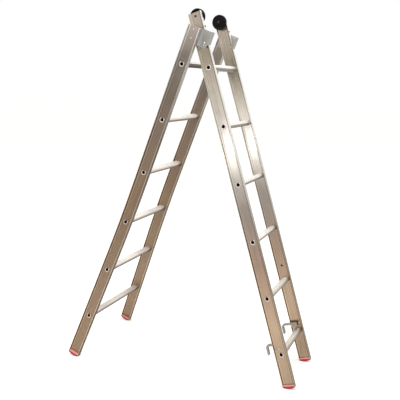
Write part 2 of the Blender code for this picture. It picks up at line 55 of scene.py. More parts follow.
joints = {joint["name"]: joint for joint in frame["joints"]}
mounts = {mount["name"]: mount for mount in frame["record"]["mounts"]}
pivot_centre = Vector(joints["fold"]["pos_m"])
SIDES = {"near": -1, "far": 1}


def standing(up):
    """Places a section, laid out about the pivot axis, with its rails along up."""
    lean = math.atan2(up[0], up[2])
    return Matrix.Translation(pivot_centre) @ Matrix.Rotation(lean, 4, "Y")


base_stand = standing(mounts["base_top_tread"]["axis"])
fly_stand = standing(joints["extend"]["axis"])


# Base rails
# Two aluminium I-sections with their webs upright and their flanges front and back. They run
# straight for the upper half, then bend outwards to give the wide section a broad stance.

RAIL_LENGTH = 1.978
RAIL_WIDTH = 0.067
FLANGE = 0.003
WEB = 0.003
FLANGE_EDGE = 0.0007
WEB_FILLET = 0.0022
BASE_WIDTH = 0.453
BASE_RAIL_DEPTH = 0.027
BASE_TOP = 0.065
BASE_OFFSET = 0.068
BASE_RUNG_TOP = -0.131
RUNG_COUNT = 6
RUNG_PITCH = 0.305
NECK_RADIUS = 0.0120
NECK_FIT = 0.0002
FIT = 0.0003
RIVET_RADIUS = 0.003
RIVET_HEIGHTS = (0.045, 0.003)
SPLAY_START = 0.847
SPLAY_RUN = 0.487
SPLAY_ANGLE = math.radians(5.3)


def add_node(tree, kind, inputs=None, **settings):
    """One node, with its settings, and its inputs either linked or set by name or place."""
    made = tree.nodes.new(kind)
    for key, value in settings.items():
        setattr(made, key, value)
    for key, value in (inputs or {}).items():
        if isinstance(value, bpy.types.NodeSocket):
            tree.links.new(value, made.inputs[key])
        else:
            made.inputs[key].default_value = value
    return made


def calculate(tree, operation, *values):
    node = add_node(tree, "ShaderNodeMath", dict(enumerate(values)), operation=operation)
    return node.outputs[0]


def remap(tree, value, low, high, to_low=0.0, to_high=1.0):
    """A value carried from one range to another, and held inside it."""
    ends = {"From Min": low, "From Max": high, "To Min": to_low, "To Max": to_high}
    return add_node(tree, "ShaderNodeMapRange", {"Value": value, **ends}).outputs[0]


def blend(tree, share, under, over, kind="MIX"):
    colours = {0: share, 6: under, 7: over}
    node = add_node(tree, "ShaderNodeMix", colours, data_type="RGBA", blend_type=kind)
    return node.outputs[2]


def scaled(tree, colour, amount):
    parts = {0: colour, "Scale": amount}
    return add_node(tree, "ShaderNodeVectorMath", parts, operation="SCALE").outputs[0]


def noise(tree, where, scale, detail, roughness=0.5):
    inputs = {"Vector": where, "Scale": scale, "Detail": detail, "Roughness": roughness}
    return add_node(tree, "ShaderNodeTexNoise", inputs).outputs[0]


def split(tree, vector):
    return add_node(tree, "ShaderNodeSeparateXYZ", {0: vector}).outputs


def combine(tree, **parts):
    return add_node(tree, "ShaderNodeCombineXYZ", parts).outputs[0]


def use_group(tree, group, **inputs):
    return add_node(tree, "ShaderNodeGroup", inputs, node_tree=group).outputs


def connect(tree, sockets, links):
    """Feeds each named socket from its source."""
    for label, source in links.items():
        tree.links.new(source, sockets[label])


def new_group(name, kind, inputs, outputs):
    """An empty node group, what it is given and what it puts out. An input is written as its
    plain default or its kind of socket, and an output as its kind of socket."""
    group = bpy.data.node_groups.new(name, kind)
    for label, value in inputs.items():
        plain = not isinstance(value, str)
        sort = type(value).__name__.capitalize() if plain else value
        made = group.interface.new_socket(label, in_out="INPUT", socket_type="NodeSocket" + sort)
        if plain:
            made.default_value = value
    for label, sort in outputs.items():
        group.interface.new_socket(label, in_out="OUTPUT", socket_type="NodeSocket" + sort)
    start = group.nodes.new("NodeGroupInput")
    end = group.nodes.new("NodeGroupOutput")
    return group, start.outputs, end.inputs


def make_die_lines():
    """Lines that the die leaves along an extrusion, slow clouding, and short handling scuffs."""
    group, given, result = new_group(
        "die_lines",
        "ShaderNodeTree",
        {"Vector": "Vector", "Fineness": 420.0, "Stretch": 1.6},
        {"Lines": "Float", "Cloud": "Float", "Scuffs": "Float"},
    )
    where = given["Vector"]
    fine = given["Fineness"]
    squeeze = combine(group, X=fine, Y=fine, Z=given["Stretch"])
    drawn = add_node(group, "ShaderNodeVectorMath", {0: where, 1: squeeze}, operation="MULTIPLY")
    turn = {"Vector": where, "Rotation": (0.3, 0.5, 0.2), "Scale": (190.0, 190.0, 26.0)}
    skew = add_node(group, "ShaderNodeMapping", turn)
    marks = noise(group, skew.outputs[0], 1.0, 2.0)
    links = {
        "Lines": noise(group, drawn.outputs[0], 1.0, 3.0, 0.6),
        "Cloud": noise(group, where, 7.0, 4.0, 0.55),
        "Scuffs": remap(group, marks, 0.66, 0.74),
    }
    connect(group, result, links)
    return group


def make_settled_dust():
    """A thin mask on faces that look up, broken by fine noise."""
    group, given, result = new_group(
        "settled_dust",
        "ShaderNodeTree",
        {"Vector": "Vector", "Facing": "Vector", "Amount": 0.2},
        {"Mask": "Float"},
    )
    level = remap(group, split(group, given["Facing"])["Z"], 0.3, 1.0)
    settled = calculate(group, "MULTIPLY", level, noise(group, given["Vector"], 90.0, 4.0))
    connect(group, result, {"Mask": calculate(group, "MULTIPLY", settled, given["Amount"])})
    return group


def make_channel_shade():
    """Across a rail, for painted highlights and shade: Tips is 1 on the flanges' edges, Corner
    on the channel's corners, where shade is painted, and Front and Back on the strips of web
    beside the front and back flanges."""
    group, given, result = new_group(
        "channel_highlight_and_shade",
        "ShaderNodeTree",
        {"Vector": "Vector", "Middle": 0.0, "Half": RAIL_WIDTH / 2},
        {"Tips": "Float", "Corner": "Float", "Front": "Float", "Back": "Float"},
    )
    offset = calculate(group, "SUBTRACT", split(group, given["Vector"])["X"], given["Middle"])
    depth = calculate(group, "SUBTRACT", given["Half"], calculate(group, "ABSOLUTE", offset))
    back = calculate(group, "GREATER_THAN", offset, 0.0)
    front = calculate(group, "SUBTRACT", 1.0, back)
    for name, low, high, blur, half in (
        ("Tips", 0.0, 0.0030, 0.0006, None),
        ("Corner", 0.0030, 0.0046, 0.0008, None),
        ("Front", 0.0046, 0.0100, 0.0010, front),
        ("Back", 0.0046, 0.0100, 0.0010, back),
    ):
        entering = remap(group, depth, low - blur, low + blur)
        leaving = remap(group, depth, high - blur, high + blur, 1.0, 0.0)
        band = calculate(group, "MULTIPLY", entering, leaving)
        if half is not None:
            band = calculate(group, "MULTIPLY", band, half)
        connect(group, result, {name: band})
    return group


def make_bore_shade():
    """Mask is 1 inside the bores of the rungs, which repeat up the section at one pitch, and Low
    is 1 on each rung below its Edge, a height from its middle."""
    group, given, result = new_group(
        "bore_shade",
        "ShaderNodeTree",
        {
            "Vector": "Vector",
            "Middle": 0.0,
            "First": 0.0,
            "Pitch": RUNG_PITCH,
            "Radius": 0.0085,
            "Edge": 0.0,
        },
        {"Mask": "Float", "Low": "Float"},
    )
    parts = split(group, given["Vector"])
    across = calculate(group, "SUBTRACT", parts["X"], given["Middle"])
    up = calculate(group, "SUBTRACT", parts["Z"], given["First"])
    half = calculate(group, "MULTIPLY", given["Pitch"], 0.5)
    within = calculate(group, "WRAP", up, half, calculate(group, "MULTIPLY", half, -1.0))
    place = combine(group, X=across, Y=within)
    distance = add_node(group, "ShaderNodeVectorMath", {0: place}, operation="LENGTH")
    beyond = calculate(group, "SUBTRACT", distance.outputs["Value"], given["Radius"])
    above = calculate(group, "SUBTRACT", within, given["Edge"])
    links = {
        "Mask": remap(group, beyond, 0.0004, 0.0010, 1.0, 0.0),
        "Low": remap(group, above, -0.0016, 0.0016, 1.0, 0.0),
    }
    connect(group, result, links)
    return group


die_lines = make_die_lines()
settled_dust = make_settled_dust()
channel_highlight_and_shade = make_channel_shade()
bore_shade = make_bore_shade()
DUST = (0.72, 0.69, 0.63, 1.0)
# The dark colour of painted shade, in rung bores, under rungs and over the spare hole.
PAINTED_SHADE_COLOUR = (0.036, 0.029, 0.024, 1.0)
NOISE_REACH = (0.3, 0.7)


def new_material(name):
    """A material, its node tree and the inputs of its shader."""
    material = bpy.data.materials.new(name)
    material.use_nodes = True
    tree = material.node_tree
    return material, tree, tree.nodes["Principled BSDF"].inputs


def along_section(tree, stand):
    """A point's place and the way it faces, both turned so that z runs up the section's rails,
    and the way it faces as the piece stands."""
    place = add_node(tree, "ShaderNodeTexCoord").outputs
    back = stand.inverted()
    turn = back.to_euler()
    move = {"Vector": place["Object"], "Location": back.to_translation(), "Rotation": turn}
    where = add_node(tree, "ShaderNodeMapping", move)
    facing = add_node(tree, "ShaderNodeMapping", {"Vector": place["Normal"], "Rotation": turn})
    return where.outputs[0], facing.outputs[0], place["Normal"]


def tone_ramp(tree, height, tones):
    """Colour by height along the section, from (height, colour) pairs with the top one last."""
    low, high = tones[0][0], tones[-1][0]
    ramp = add_node(tree, "ShaderNodeValToRGB", {"Fac": remap(tree, height, low, high)})
    stops = ramp.color_ramp.elements
    while len(stops) < len(tones):
        stops.new(0.5)
    for stop, (place, colour) in zip(stops, tones):
        stop.position = (place - low) / (high - low)
        stop.color = (*colour, 1.0)
    return ramp.outputs[0]


def facing_mask(tree, component):
    """1 on faces that look along an axis, falling to 0 on faces that look across it."""
    return remap(tree, calculate(tree, "ABSOLUTE", component), 0.62, 0.86)


def dusty(tree, colour, where, upright, amount):
    """The colour under a little dust on the faces that look up as the piece stands."""
    powder = use_group(tree, settled_dust, Vector=where, Facing=upright, Amount=amount)
    return blend(tree, powder["Mask"], colour, DUST)


def metal(
    name,
    stand,
    tones,
    roughness,
    metallic,
    across=None,
    ends=None,
    channel=None,
    lane_light_and_shade=(),
    hole_shade=None,
    bore=None,
    shadow=0.0,
    fineness=420.0,
    contrast=0.22,
    dust=0.1,
):
    """Metal with drawn lines, its tones by height along the section painted light and shade on
    the rails and rungs. Across and ends are painted light and shade on the faces that look
    across the section's rails and along its rungs. Channel is a rail's middle, and lane tints
    multiply its corners with painted shade and its tips and the strips of web beside its front
    and back flanges with painted highlights and shade. The bore shade puts painted shade over a
    hole or inside a rung's bore, and shadow is how dark the painted shadow on a rung's lower half is."""
    material, tree, shader = new_material(name)
    where, facing, upright = along_section(tree, stand)
    height = split(tree, where)["Z"]
    ways = split(tree, facing)
    # Tones by height: on the rails and rungs, painted light and shade along the section.
    colour = tone_ramp(tree, height, tones)
    # Painted shade in the channel's corners, and painted highlights and shade on the flanges' tips and the strips
    # of web beside them.
    if channel is not None:
        lanes = use_group(tree, channel_highlight_and_shade, Vector=where, Middle=channel)
        for lane, tint in zip(("Corner", "Tips", "Front", "Back"), lane_light_and_shade):
            colour = blend(tree, lanes[lane], colour, (*tint, 1.0), "MULTIPLY")
    # Painted light and shade on the faces that look across the rails and along the rungs.
    for axis, other_tones in (("X", across), ("Y", ends)):
        if other_tones:
            other = tone_ramp(tree, height, other_tones)
            colour = blend(tree, facing_mask(tree, ways[axis]), colour, other)
    # Painted shade over a hole that shows dark.
    if hole_shade:
        spot = use_group(tree, bore_shade, Vector=where, **hole_shade)
        colour = blend(tree, spot["Mask"], colour, PAINTED_SHADE_COLOUR)
    # Painted shade inside the rungs' bores, and a painted shadow on their lower halves.
    if bore:
        rung = use_group(tree, bore_shade, Vector=where, **bore)
        sides = calculate(tree, "SUBTRACT", 1.0, facing_mask(tree, ways["Y"]))
        under = calculate(tree, "MULTIPLY", rung["Low"], sides)
        thinned = calculate(tree, "MULTIPLY", under, shadow)
        painted_shade = calculate(tree, "MAXIMUM", rung["Mask"], thinned)
        colour = blend(tree, painted_shade, colour, PAINTED_SHADE_COLOUR)
    grain = use_group(tree, die_lines, Vector=where, Fineness=fineness)
    lines = remap(tree, grain["Lines"], *NOISE_REACH, 1.0 - contrast, 1.0 + contrast)
    cloud = remap(tree, grain["Cloud"], *NOISE_REACH, 0.90, 1.10)
    lined = scaled(tree, colour, calculate(tree, "MULTIPLY", lines, cloud))
    polish = remap(tree, grain["Cloud"], *NOISE_REACH, roughness - 0.05, roughness + 0.07)
    relief = calculate(tree, "MULTIPLY_ADD", grain["Scuffs"], -0.5, grain["Lines"])
    bump = {"Height": relief, "Strength": 0.25, "Distance": 0.0003}
    links = {
        "Base Color": dusty(tree, lined, where, upright, dust),
        "Roughness": calculate(tree, "MULTIPLY_ADD", grain["Scuffs"], 0.12, polish),
        "Normal": add_node(tree, "ShaderNodeBump", bump).outputs[0],
    }
    connect(tree, shader, links)
    shader["Metallic"].default_value = metallic
    shader["Anisotropic"].default_value = 0.4
    return material


def soften(corners, steps=4):
    """A closed outline from (x, y, radius) corners, each rounded by its radius."""
    outline = []
    for i, (x, y, radius) in enumerate(corners):
        here = Vector((x, y))
        if radius == 0.0:
            outline.append((x, y))
            continue
        before = (Vector(corners[i - 1][:2]) - here).normalized()
        after = (Vector(corners[(i + 1) % len(corners)][:2]) - here).normalized()
        half = before.angle(after) / 2
        centre = here + (before + after).normalized() * (radius / math.sin(half))
        first = here + before * (radius / math.tan(half)) - centre
        last = here + after * (radius / math.tan(half)) - centre
        for step in range(steps + 1):
            spoke = first.lerp(last, step / steps).normalized() * radius
            outline.append(tuple(centre + spoke))
    return outline


def loft(rings, closed=False):
    """A bmesh through rings with the same number of points, capped unless it closes on itself."""
    bm = bmesh.new()
    loops = [[bm.verts.new(point) for point in ring] for ring in rings]
    count = len(rings[0])
    pairs = list(zip(loops, loops[1:]))
    if closed:
        pairs.append((loops[-1], loops[0]))
    for lower, upper in pairs:
        for i in range(count):
            j = (i + 1) % count
            bm.faces.new((lower[i], lower[j], upper[j], upper[i]))
    if not closed:
        bm.faces.new(loops[0])
        bm.faces.new(loops[-1])
    return bm


def turned(profile, segments=40, hollow=False):
    """A shape turned about the y axis through (radius, y) points, with a bore if hollow."""
    rings = []
    for radius, y in profile:
        ring = []
        for i in range(segments):
            angle = math.tau * i / segments
            ring.append((radius * math.cos(angle), y, radius * math.sin(angle)))
        rings.append(ring)
    return loft(rings, closed=hollow)


def join(bm, part):
    """Adds a part's faces to a shape and frees the part."""
    scrap = bpy.data.meshes.new("scrap")
    part.to_mesh(scrap)
    part.free()
    bm.from_mesh(scrap)
    bpy.data.meshes.remove(scrap)


def drilled(bm, holes, start=-0.5, end=0.5):
    """The shape with a round hole along y at each (x, z, radius), right across the ladder unless
    a start and an end are given."""
    blank = bpy.data.objects.new("blank", bpy.data.meshes.new("blank"))
    rods = bpy.data.objects.new("rods", bpy.data.meshes.new("rods"))
    pegs = bmesh.new()
    for x, z, radius in holes:
        peg = turned([(radius, start), (radius, end)], 32)
        bmesh.ops.recalc_face_normals(peg, faces=peg.faces)
        bmesh.ops.translate(peg, verts=peg.verts, vec=(x, 0.0, z))
        join(pegs, peg)
    pegs.to_mesh(rods.data)
    pegs.free()
    bm.normal_update()
    bmesh.ops.recalc_face_normals(bm, faces=bm.faces)
    bm.to_mesh(blank.data)
    bm.free()
    for helper in (blank, rods):
        bpy.context.scene.collection.objects.link(helper)
    drill = blank.modifiers.new("drill", "BOOLEAN")
    drill.operation = "DIFFERENCE"
    drill.solver = "EXACT"
    drill.object = rods
    graph = bpy.context.evaluated_depsgraph_get()
    result = bpy.data.meshes.new_from_object(blank.evaluated_get(graph))
    made = bmesh.new()
    made.from_mesh(result)
    bpy.data.meshes.remove(result)
    for helper in (blank, rods):
        mesh = helper.data
        bpy.data.objects.remove(helper)
        bpy.data.meshes.remove(mesh)
    return made


def place_mesh(name, mesh, material, body, stands_for):
    """Links a finished mesh, smooth but for its sharp edges, and ties it to its CAD body."""
    mesh.materials.clear()
    mesh.materials.append(material)
    mesh.shade_smooth()
    mesh.set_sharp_from_angle(angle=math.radians(38))
    piece = bpy.data.objects.new(name, mesh)
    bpy.context.scene.collection.objects.link(piece)
    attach(piece, body)
    if stands_for:
        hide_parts(*stands_for)


def make_piece(name, bm, stand, material, body):
    """Turns a bmesh laid out about the pivot axis into the piece that stands for a CAD node."""
    bm.normal_update()
    bmesh.ops.recalc_face_normals(bm, faces=bm.faces)
    bm.transform(stand)
    mesh = bpy.data.meshes.new(name + "_body")
    bm.to_mesh(mesh)
    bm.free()
    place_mesh(name + "_body", mesh, material, body, [name])


def spread(z):
    """How far a base rail has bent outwards at height z from the pivot."""
    along = BASE_TOP - z - SPLAY_START
    if along <= 0:
        return 0.0
    radius = SPLAY_RUN / SPLAY_ANGLE
    if along < SPLAY_RUN:
        return radius * (1 - math.cos(along / radius))
    return radius * (1 - math.cos(SPLAY_ANGLE)) + (along - SPLAY_RUN) * math.tan(SPLAY_ANGLE)


def straight(z):
    """How far a fly rail has bent outwards at any height."""
    return 0.0


def rail_outline(depth):
    """The I-section as (x, depth from the outer face) points."""
    edge = RAIL_WIDTH / 2
    inside = edge - FLANGE
    out, back = (depth - WEB) / 2, (depth + WEB) / 2
    half = [
        (inside, out, WEB_FILLET),
        (inside, 0.0, FLANGE_EDGE),
        (edge, 0.0, FLANGE_EDGE),
        (edge, depth, FLANGE_EDGE),
        (inside, depth, FLANGE_EDGE),
        (inside, back, WEB_FILLET),
    ]
    return soften(half + [(-x, d, r) for x, d, r in reversed(half)])


def rail_shape(side, width, depth, offset, stations, bend):
    """The I-section carried down a rail through its stations."""
    rings = []
    for z in stations:
        outline = rail_outline(depth)
        rings.append([(x - offset, side * (width / 2 - d + bend(z)), z) for x, d in outline])
    return loft(rings)


# Painted light and shade: tones by height, paler at the very top, painted tones on the flange faces, and painted
# channel shade and highlights.
base_metal = metal(
    "base_rail_aluminium",
    base_stand,
    [
        (-1.90, (0.36, 0.25, 0.17)),
        (-1.50, (0.36, 0.265, 0.19)),
        (-1.20, (0.32, 0.235, 0.165)),
        (-0.90, (0.31, 0.22, 0.15)),
        (-0.58, (0.28, 0.215, 0.165)),
        (-0.28, (0.24, 0.205, 0.17)),
        (-0.08, (0.30, 0.27, 0.245)),
        (0.06, (0.60, 0.55, 0.50)),
    ],
    roughness=0.46,
    metallic=0.85,
    channel=-BASE_OFFSET,
    lane_light_and_shade=((0.36, 0.35, 0.34), (2.4, 2.5, 2.6), (1.9, 1.95, 2.0), (1.5, 1.5, 1.5)),
    across=[
        (-1.90, (0.13, 0.11, 0.09)),
        (-0.55, (0.12, 0.105, 0.09)),
        (-0.25, (0.46, 0.44, 0.42)),
        (0.06, (0.64, 0.63, 0.61)),
    ],
)
base_rung_heights = [BASE_RUNG_TOP - RUNG_PITCH * i for i in range(RUNG_COUNT)]
base_web = BASE_WIDTH / 2 - BASE_RAIL_DEPTH / 2
bend_top = BASE_TOP - SPLAY_START
base_stations = [BASE_TOP] + [bend_top - SPLAY_RUN * i / 16 for i in range(17)]
base_stations.append(BASE_TOP - RAIL_LENGTH)
base_holes = [(-BASE_OFFSET, z, NECK_RADIUS + NECK_FIT) for z in base_rung_heights]
rivet_holes = [(-BASE_OFFSET, z, RIVET_RADIUS + FIT) for z in RIVET_HEIGHTS]
for label, side in SIDES.items():
    rail = rail_shape(side, BASE_WIDTH, BASE_RAIL_DEPTH, BASE_OFFSET, base_stations, spread)
    rail = drilled(rail, base_holes + rivet_holes)
    make_piece(f"base_rail_{label}", rail, base_stand, base_metal, "base")


# Base rungs
# Extruded aluminium tube with a flat ribbed tread above and a round belly below. Its ends are
# turned down to a neck, passed through the rail's web and swaged over into a bright ring.

RUNG_DEPTH = 0.032
TREAD_HEIGHT = 0.012
TREAD_EDGE = 0.0022
RIB_HEIGHT = 0.0008
RIB_RADIUS = 0.0013
RIB_COUNT = 7
RIB_SPACING = 0.0040
BELLY_START = 0.006
BELLY_DEPTH = 0.016
RUNG_BORE = 0.009
SWAGE_RADIUS = 0.0145
SWAGE_THICKNESS = 0.0025
SHOULDER_EDGE = 0.0006
RIB_END_GAP = 0.0015


def rung_outline():
    """The D section as (x, z) points, its tread sunk by the height of the ribs."""
    half = RUNG_DEPTH / 2
    top = TREAD_HEIGHT - RIB_HEIGHT
    corners = [(half, top, TREAD_EDGE), (-half, top, TREAD_EDGE)]
    outline = soften(corners + [(-half, -BELLY_START, 0.0), (half, -BELLY_START, 0.0)], 5)[:-2]
    for i in range(21):
        angle = math.pi + math.pi * i / 20
        drop = (BELLY_DEPTH - BELLY_START) * math.sin(angle)
        outline.append((half * math.cos(angle), -BELLY_START + drop))
    return outline


def rung_shape(web_centre):
    """A rung between webs, with its necks, swaged rings and a bore right through."""
    outline = rung_outline()
    angles = [math.atan2(z, x) for x, z in outline]
    shoulder = web_centre - WEB / 2 - FIT
    ring_in = web_centre + WEB / 2 + FIT
    ring_out = ring_in + SWAGE_THICKNESS
    profile = [
        (RUNG_BORE, ring_out - 0.0022),
        (RUNG_BORE + 0.0004, ring_out - 0.0009),
        (RUNG_BORE + 0.0013, ring_out - 0.0002),
        (RUNG_BORE + 0.0024, ring_out),
        (SWAGE_RADIUS - 0.0015, ring_out - 0.0002),
        (SWAGE_RADIUS - 0.0004, ring_out - 0.0008),
        (SWAGE_RADIUS, ring_out - 0.0016),
        (SWAGE_RADIUS - 0.0002, ring_in),
        (NECK_RADIUS, ring_in),
        (NECK_RADIUS, shoulder),
    ]
    half = [[(r * math.cos(a), y, r * math.sin(a)) for a in angles] for r, y in profile]
    scale = 1 - SHOULDER_EDGE / RUNG_DEPTH * 2
    half.append([(x * scale, shoulder, z * scale) for x, z in outline])
    half.append([(x, shoulder - SHOULDER_EDGE, z) for x, z in outline])
    other = [[(x, -y, z) for x, y, z in ring] for ring in reversed(half)]
    return loft(half + other, closed=True)


def copies(group, points, shape, **settings):
    """The shape at every point, made real."""
    inputs = {"Points": points, "Instance": shape, **settings}
    held = add_node(group, "GeometryNodeInstanceOnPoints", inputs)
    return add_node(group, "GeometryNodeRealizeInstances", {0: held.outputs[0]}).outputs[0]


def finished(group, shape, material):
    inputs = {"Geometry": shape, "Material": material}
    return add_node(group, "GeometryNodeSetMaterial", inputs).outputs[0]


def read_attribute(group, name):
    kind = "GeometryNodeInputNamedAttribute"
    return add_node(group, kind, {"Name": name}, data_type="FLOAT").outputs[0]


def make_tread_ribs():
    """Geometry nodes: round-topped ribs side by side along every tread. Each point of the input
    is the middle of a tread, and its reach attribute is half the tread's length."""
    group, given, result = new_group(
        "tread_ribs",
        "GeometryNodeTree",
        {
            "Treads": "Geometry",
            "Rib Count": 7,
            "Rib Spacing": 0.004,
            "Rib Radius": 0.001,
            "Material": "Material",
        },
        {"Ribs": "Geometry"},
    )
    ends = {"Start": (0, -1, 0), "End": (0, 1, 0)}
    bar = add_node(group, "GeometryNodeCurvePrimitiveLine", ends)
    circle = {"Resolution": 10, "Radius": given["Rib Radius"]}
    section = add_node(group, "GeometryNodeCurvePrimitiveCircle", circle)
    sweep = {"Curve": bar.outputs[0], "Profile Curve": section.outputs[0], "Fill Caps": True}
    rib = add_node(group, "GeometryNodeCurveToMesh", sweep)
    gaps = calculate(group, "ADD", given["Rib Count"], -1.0)
    width = calculate(group, "MULTIPLY", gaps, given["Rib Spacing"])
    line = {
        "Count": given["Rib Count"],
        "Start Location": combine(group, X=calculate(group, "MULTIPLY", width, -0.5)),
        "Offset": combine(group, X=given["Rib Spacing"]),
    }
    row = add_node(group, "GeometryNodeMeshLine", line, mode="OFFSET")
    one_tread = copies(group, row.outputs[0], rib.outputs[0])
    stretch = combine(group, X=1.0, Y=read_attribute(group, "reach"), Z=1.0)
    all_treads = copies(group, given["Treads"], one_tread, Scale=stretch)
    connect(group, result, {"Ribs": finished(group, all_treads, given["Material"])})
    return group


def grow(name, points, label, numbers, group, values, stand):
    """Runs a geometry node group on bare points, each with one number under the label, and
    returns the result as a placed mesh."""
    seeds = bpy.data.meshes.new(name)
    seeds.from_pydata(points, [], [])
    seeds.attributes.new(label, "FLOAT", "POINT").data.foreach_set("value", numbers)
    holder = bpy.data.objects.new(name, seeds)
    bpy.context.scene.collection.objects.link(holder)
    modifier = holder.modifiers.new("grow", "NODES")
    modifier.node_group = group
    for item in group.interface.items_tree:
        if item.in_out == "INPUT" and item.name in values:
            modifier[item.identifier] = values[item.name]
    graph = bpy.context.evaluated_depsgraph_get()
    mesh = bpy.data.meshes.new_from_object(holder.evaluated_get(graph))
    bpy.data.objects.remove(holder)
    bpy.data.meshes.remove(seeds)
    mesh.transform(stand)
    return mesh


tread_ribs = make_tread_ribs()


def rib_the_treads(section, stand, offset, heights, reaches, material):
    points = [(-offset, 0.0, z + TREAD_HEIGHT - RIB_RADIUS) for z in heights]
    values = {
        "Rib Count": RIB_COUNT,
        "Rib Spacing": RIB_SPACING,
        "Rib Radius": RIB_RADIUS,
        "Material": material,
    }
    name = f"{section}_tread_ribs"
    mesh = grow(name, points, "reach", reaches, tread_ribs, values, stand)
    place_mesh(name, mesh, material, section, [])


# Painted light and shade: the rungs darker towards the foot of the ladder.
RUNG_TONES = [
    (-1.70, (0.72, 0.67, 0.62)),
    (-1.36, (0.92, 0.87, 0.82)),
    (0.06, (0.96, 0.94, 0.90)),
]
# Painted light and shade on the rungs' sides and swaged ends, painted shade in their bores and a painted shadow
# under them.
base_rung_metal = metal(
    "base_rung_aluminium",
    base_stand,
    RUNG_TONES,
    roughness=0.42,
    metallic=0.45,
    across=[
        (-1.70, (0.30, 0.26, 0.24)),
        (-1.05, (0.52, 0.46, 0.42)),
        (-0.60, (0.88, 0.80, 0.73)),
        (-0.40, (0.88, 0.82, 0.76)),
        (-0.10, (0.12, 0.09, 0.08)),
    ],
    ends=[(-1.70, (0.88, 0.78, 0.68)), (-0.10, (0.90, 0.84, 0.78))],
    bore={"Middle": -BASE_OFFSET, "First": BASE_RUNG_TOP, "Radius": RUNG_BORE, "Edge": 0.0005},
    shadow=0.8,
    contrast=0.08,
)
base_reaches = []
for i, z in enumerate(base_rung_heights):
    rung = rung_shape(base_web)
    for vert in rung.verts:
        vert.co.y += math.copysign(spread(z + vert.co.z), vert.co.y)
        vert.co.z += z
        vert.co.x -= BASE_OFFSET
    make_piece(f"base_rung_{i + 1}", rung, base_stand, base_rung_metal, "base")
    base_reaches.append(base_web - WEB / 2 - RIB_END_GAP + spread(z + TREAD_HEIGHT))
rib_the_treads(
    "base", base_stand, BASE_OFFSET, base_rung_heights, base_reaches, base_rung_metal
)


# Fly rails
# Two lighter aluminium I-sections, straight from end to end, that slide in the guide brackets.
# One of them has a single small spare hole above its fifth rung.

FLY_WIDTH = 0.367
FLY_RAIL_DEPTH = 0.022
FLY_TOP = 0.165
FLY_OFFSET = 0.0148
FLY_RUNG_TOP = -0.114
AXLE_HEIGHT = FLY_TOP - 0.018
AXLE_RADIUS = 0.005
HOOK_BOLT_RADIUS = 0.004
HOOK_BOLT_HEIGHT = -1.604
HOOK_BOLT_PLACES = (-0.022 - FLY_OFFSET, -0.002 - FLY_OFFSET)
SPARE_HOLE_HEIGHT = FLY_RUNG_TOP - 4 * RUNG_PITCH + 0.083
SPARE_HOLE_RADIUS = 0.0045
SPARE_HOLE_SKIN = 0.0006

# Painted shade over the far rail's blind spare hole and a millimetre round it.
far_hole_shade = {
    "Middle": -FLY_OFFSET,
    "First": SPARE_HOLE_HEIGHT,
    "Pitch": 10.0,
    "Radius": SPARE_HOLE_RADIUS + 0.0010,
}
# Painted light and shade: tones by height with a painted bright band on the upper rails, painted tones on the
# flange faces, and painted channel shade and highlights.
fly_metal = {}
for label, hole_shade in (("near", None), ("far", far_hole_shade)):
    fly_metal[label] = metal(
        f"fly_rail_aluminium_{label}",
        fly_stand,
        [
            (-1.81, (0.42, 0.31, 0.22)),
            (-1.50, (0.47, 0.35, 0.25)),
            (-1.15, (0.36, 0.26, 0.20)),
            (-0.85, (0.38, 0.335, 0.30)),
            (-0.60, (0.60, 0.57, 0.53)),
            (-0.30, (0.76, 0.72, 0.66)),
            (-0.06, (0.52, 0.48, 0.40)),
            (0.16, (0.66, 0.60, 0.54)),
        ],
        roughness=0.20,
        hole_shade=hole_shade,
        metallic=0.88,
        channel=-FLY_OFFSET,
        lane_light_and_shade=((0.40, 0.38, 0.35), (1.3, 1.3, 1.3), (1.35, 1.35, 1.35), (0.50, 0.47, 0.44)),
        across=[
            (-1.81, (0.12, 0.10, 0.075)),
            (-1.20, (0.20, 0.175, 0.14)),
            (-0.85, (0.50, 0.48, 0.45)),
            (-0.50, (0.74, 0.73, 0.70)),
            (0.16, (0.90, 0.89, 0.86)),
        ],
    )
fly_rung_heights = [FLY_RUNG_TOP - RUNG_PITCH * i for i in range(RUNG_COUNT)]
fly_web = FLY_WIDTH / 2 - FLY_RAIL_DEPTH / 2
fly_ends = (FLY_TOP, FLY_TOP - RAIL_LENGTH)
fly_holes = [(-FLY_OFFSET, z, NECK_RADIUS + NECK_FIT) for z in fly_rung_heights]
fly_holes.append((-FLY_OFFSET, AXLE_HEIGHT, AXLE_RADIUS + FIT))
fly_holes += [(x, HOOK_BOLT_HEIGHT, HOOK_BOLT_RADIUS + FIT) for x in HOOK_BOLT_PLACES]
for label, side in SIDES.items():
    rail = rail_shape(side, FLY_WIDTH, FLY_RAIL_DEPTH, FLY_OFFSET, fly_ends, straight)
    rail = drilled(rail, fly_holes)
    if label == "far":
        spare_hole = [(-FLY_OFFSET, SPARE_HOLE_HEIGHT, SPARE_HOLE_RADIUS)]
        rail = drilled(rail, spare_hole, 0.0, fly_web + WEB / 2 - SPARE_HOLE_SKIN)
    make_piece(f"fly_rail_{label}", rail, fly_stand, fly_metal[label], "fly")


# Fly rungs
# The same extrusion as the base rungs, all of one length, swaged through the fly rails' webs.
# They are bright on top and their sides darker towards the foot of the ladder, all painted light and shade.

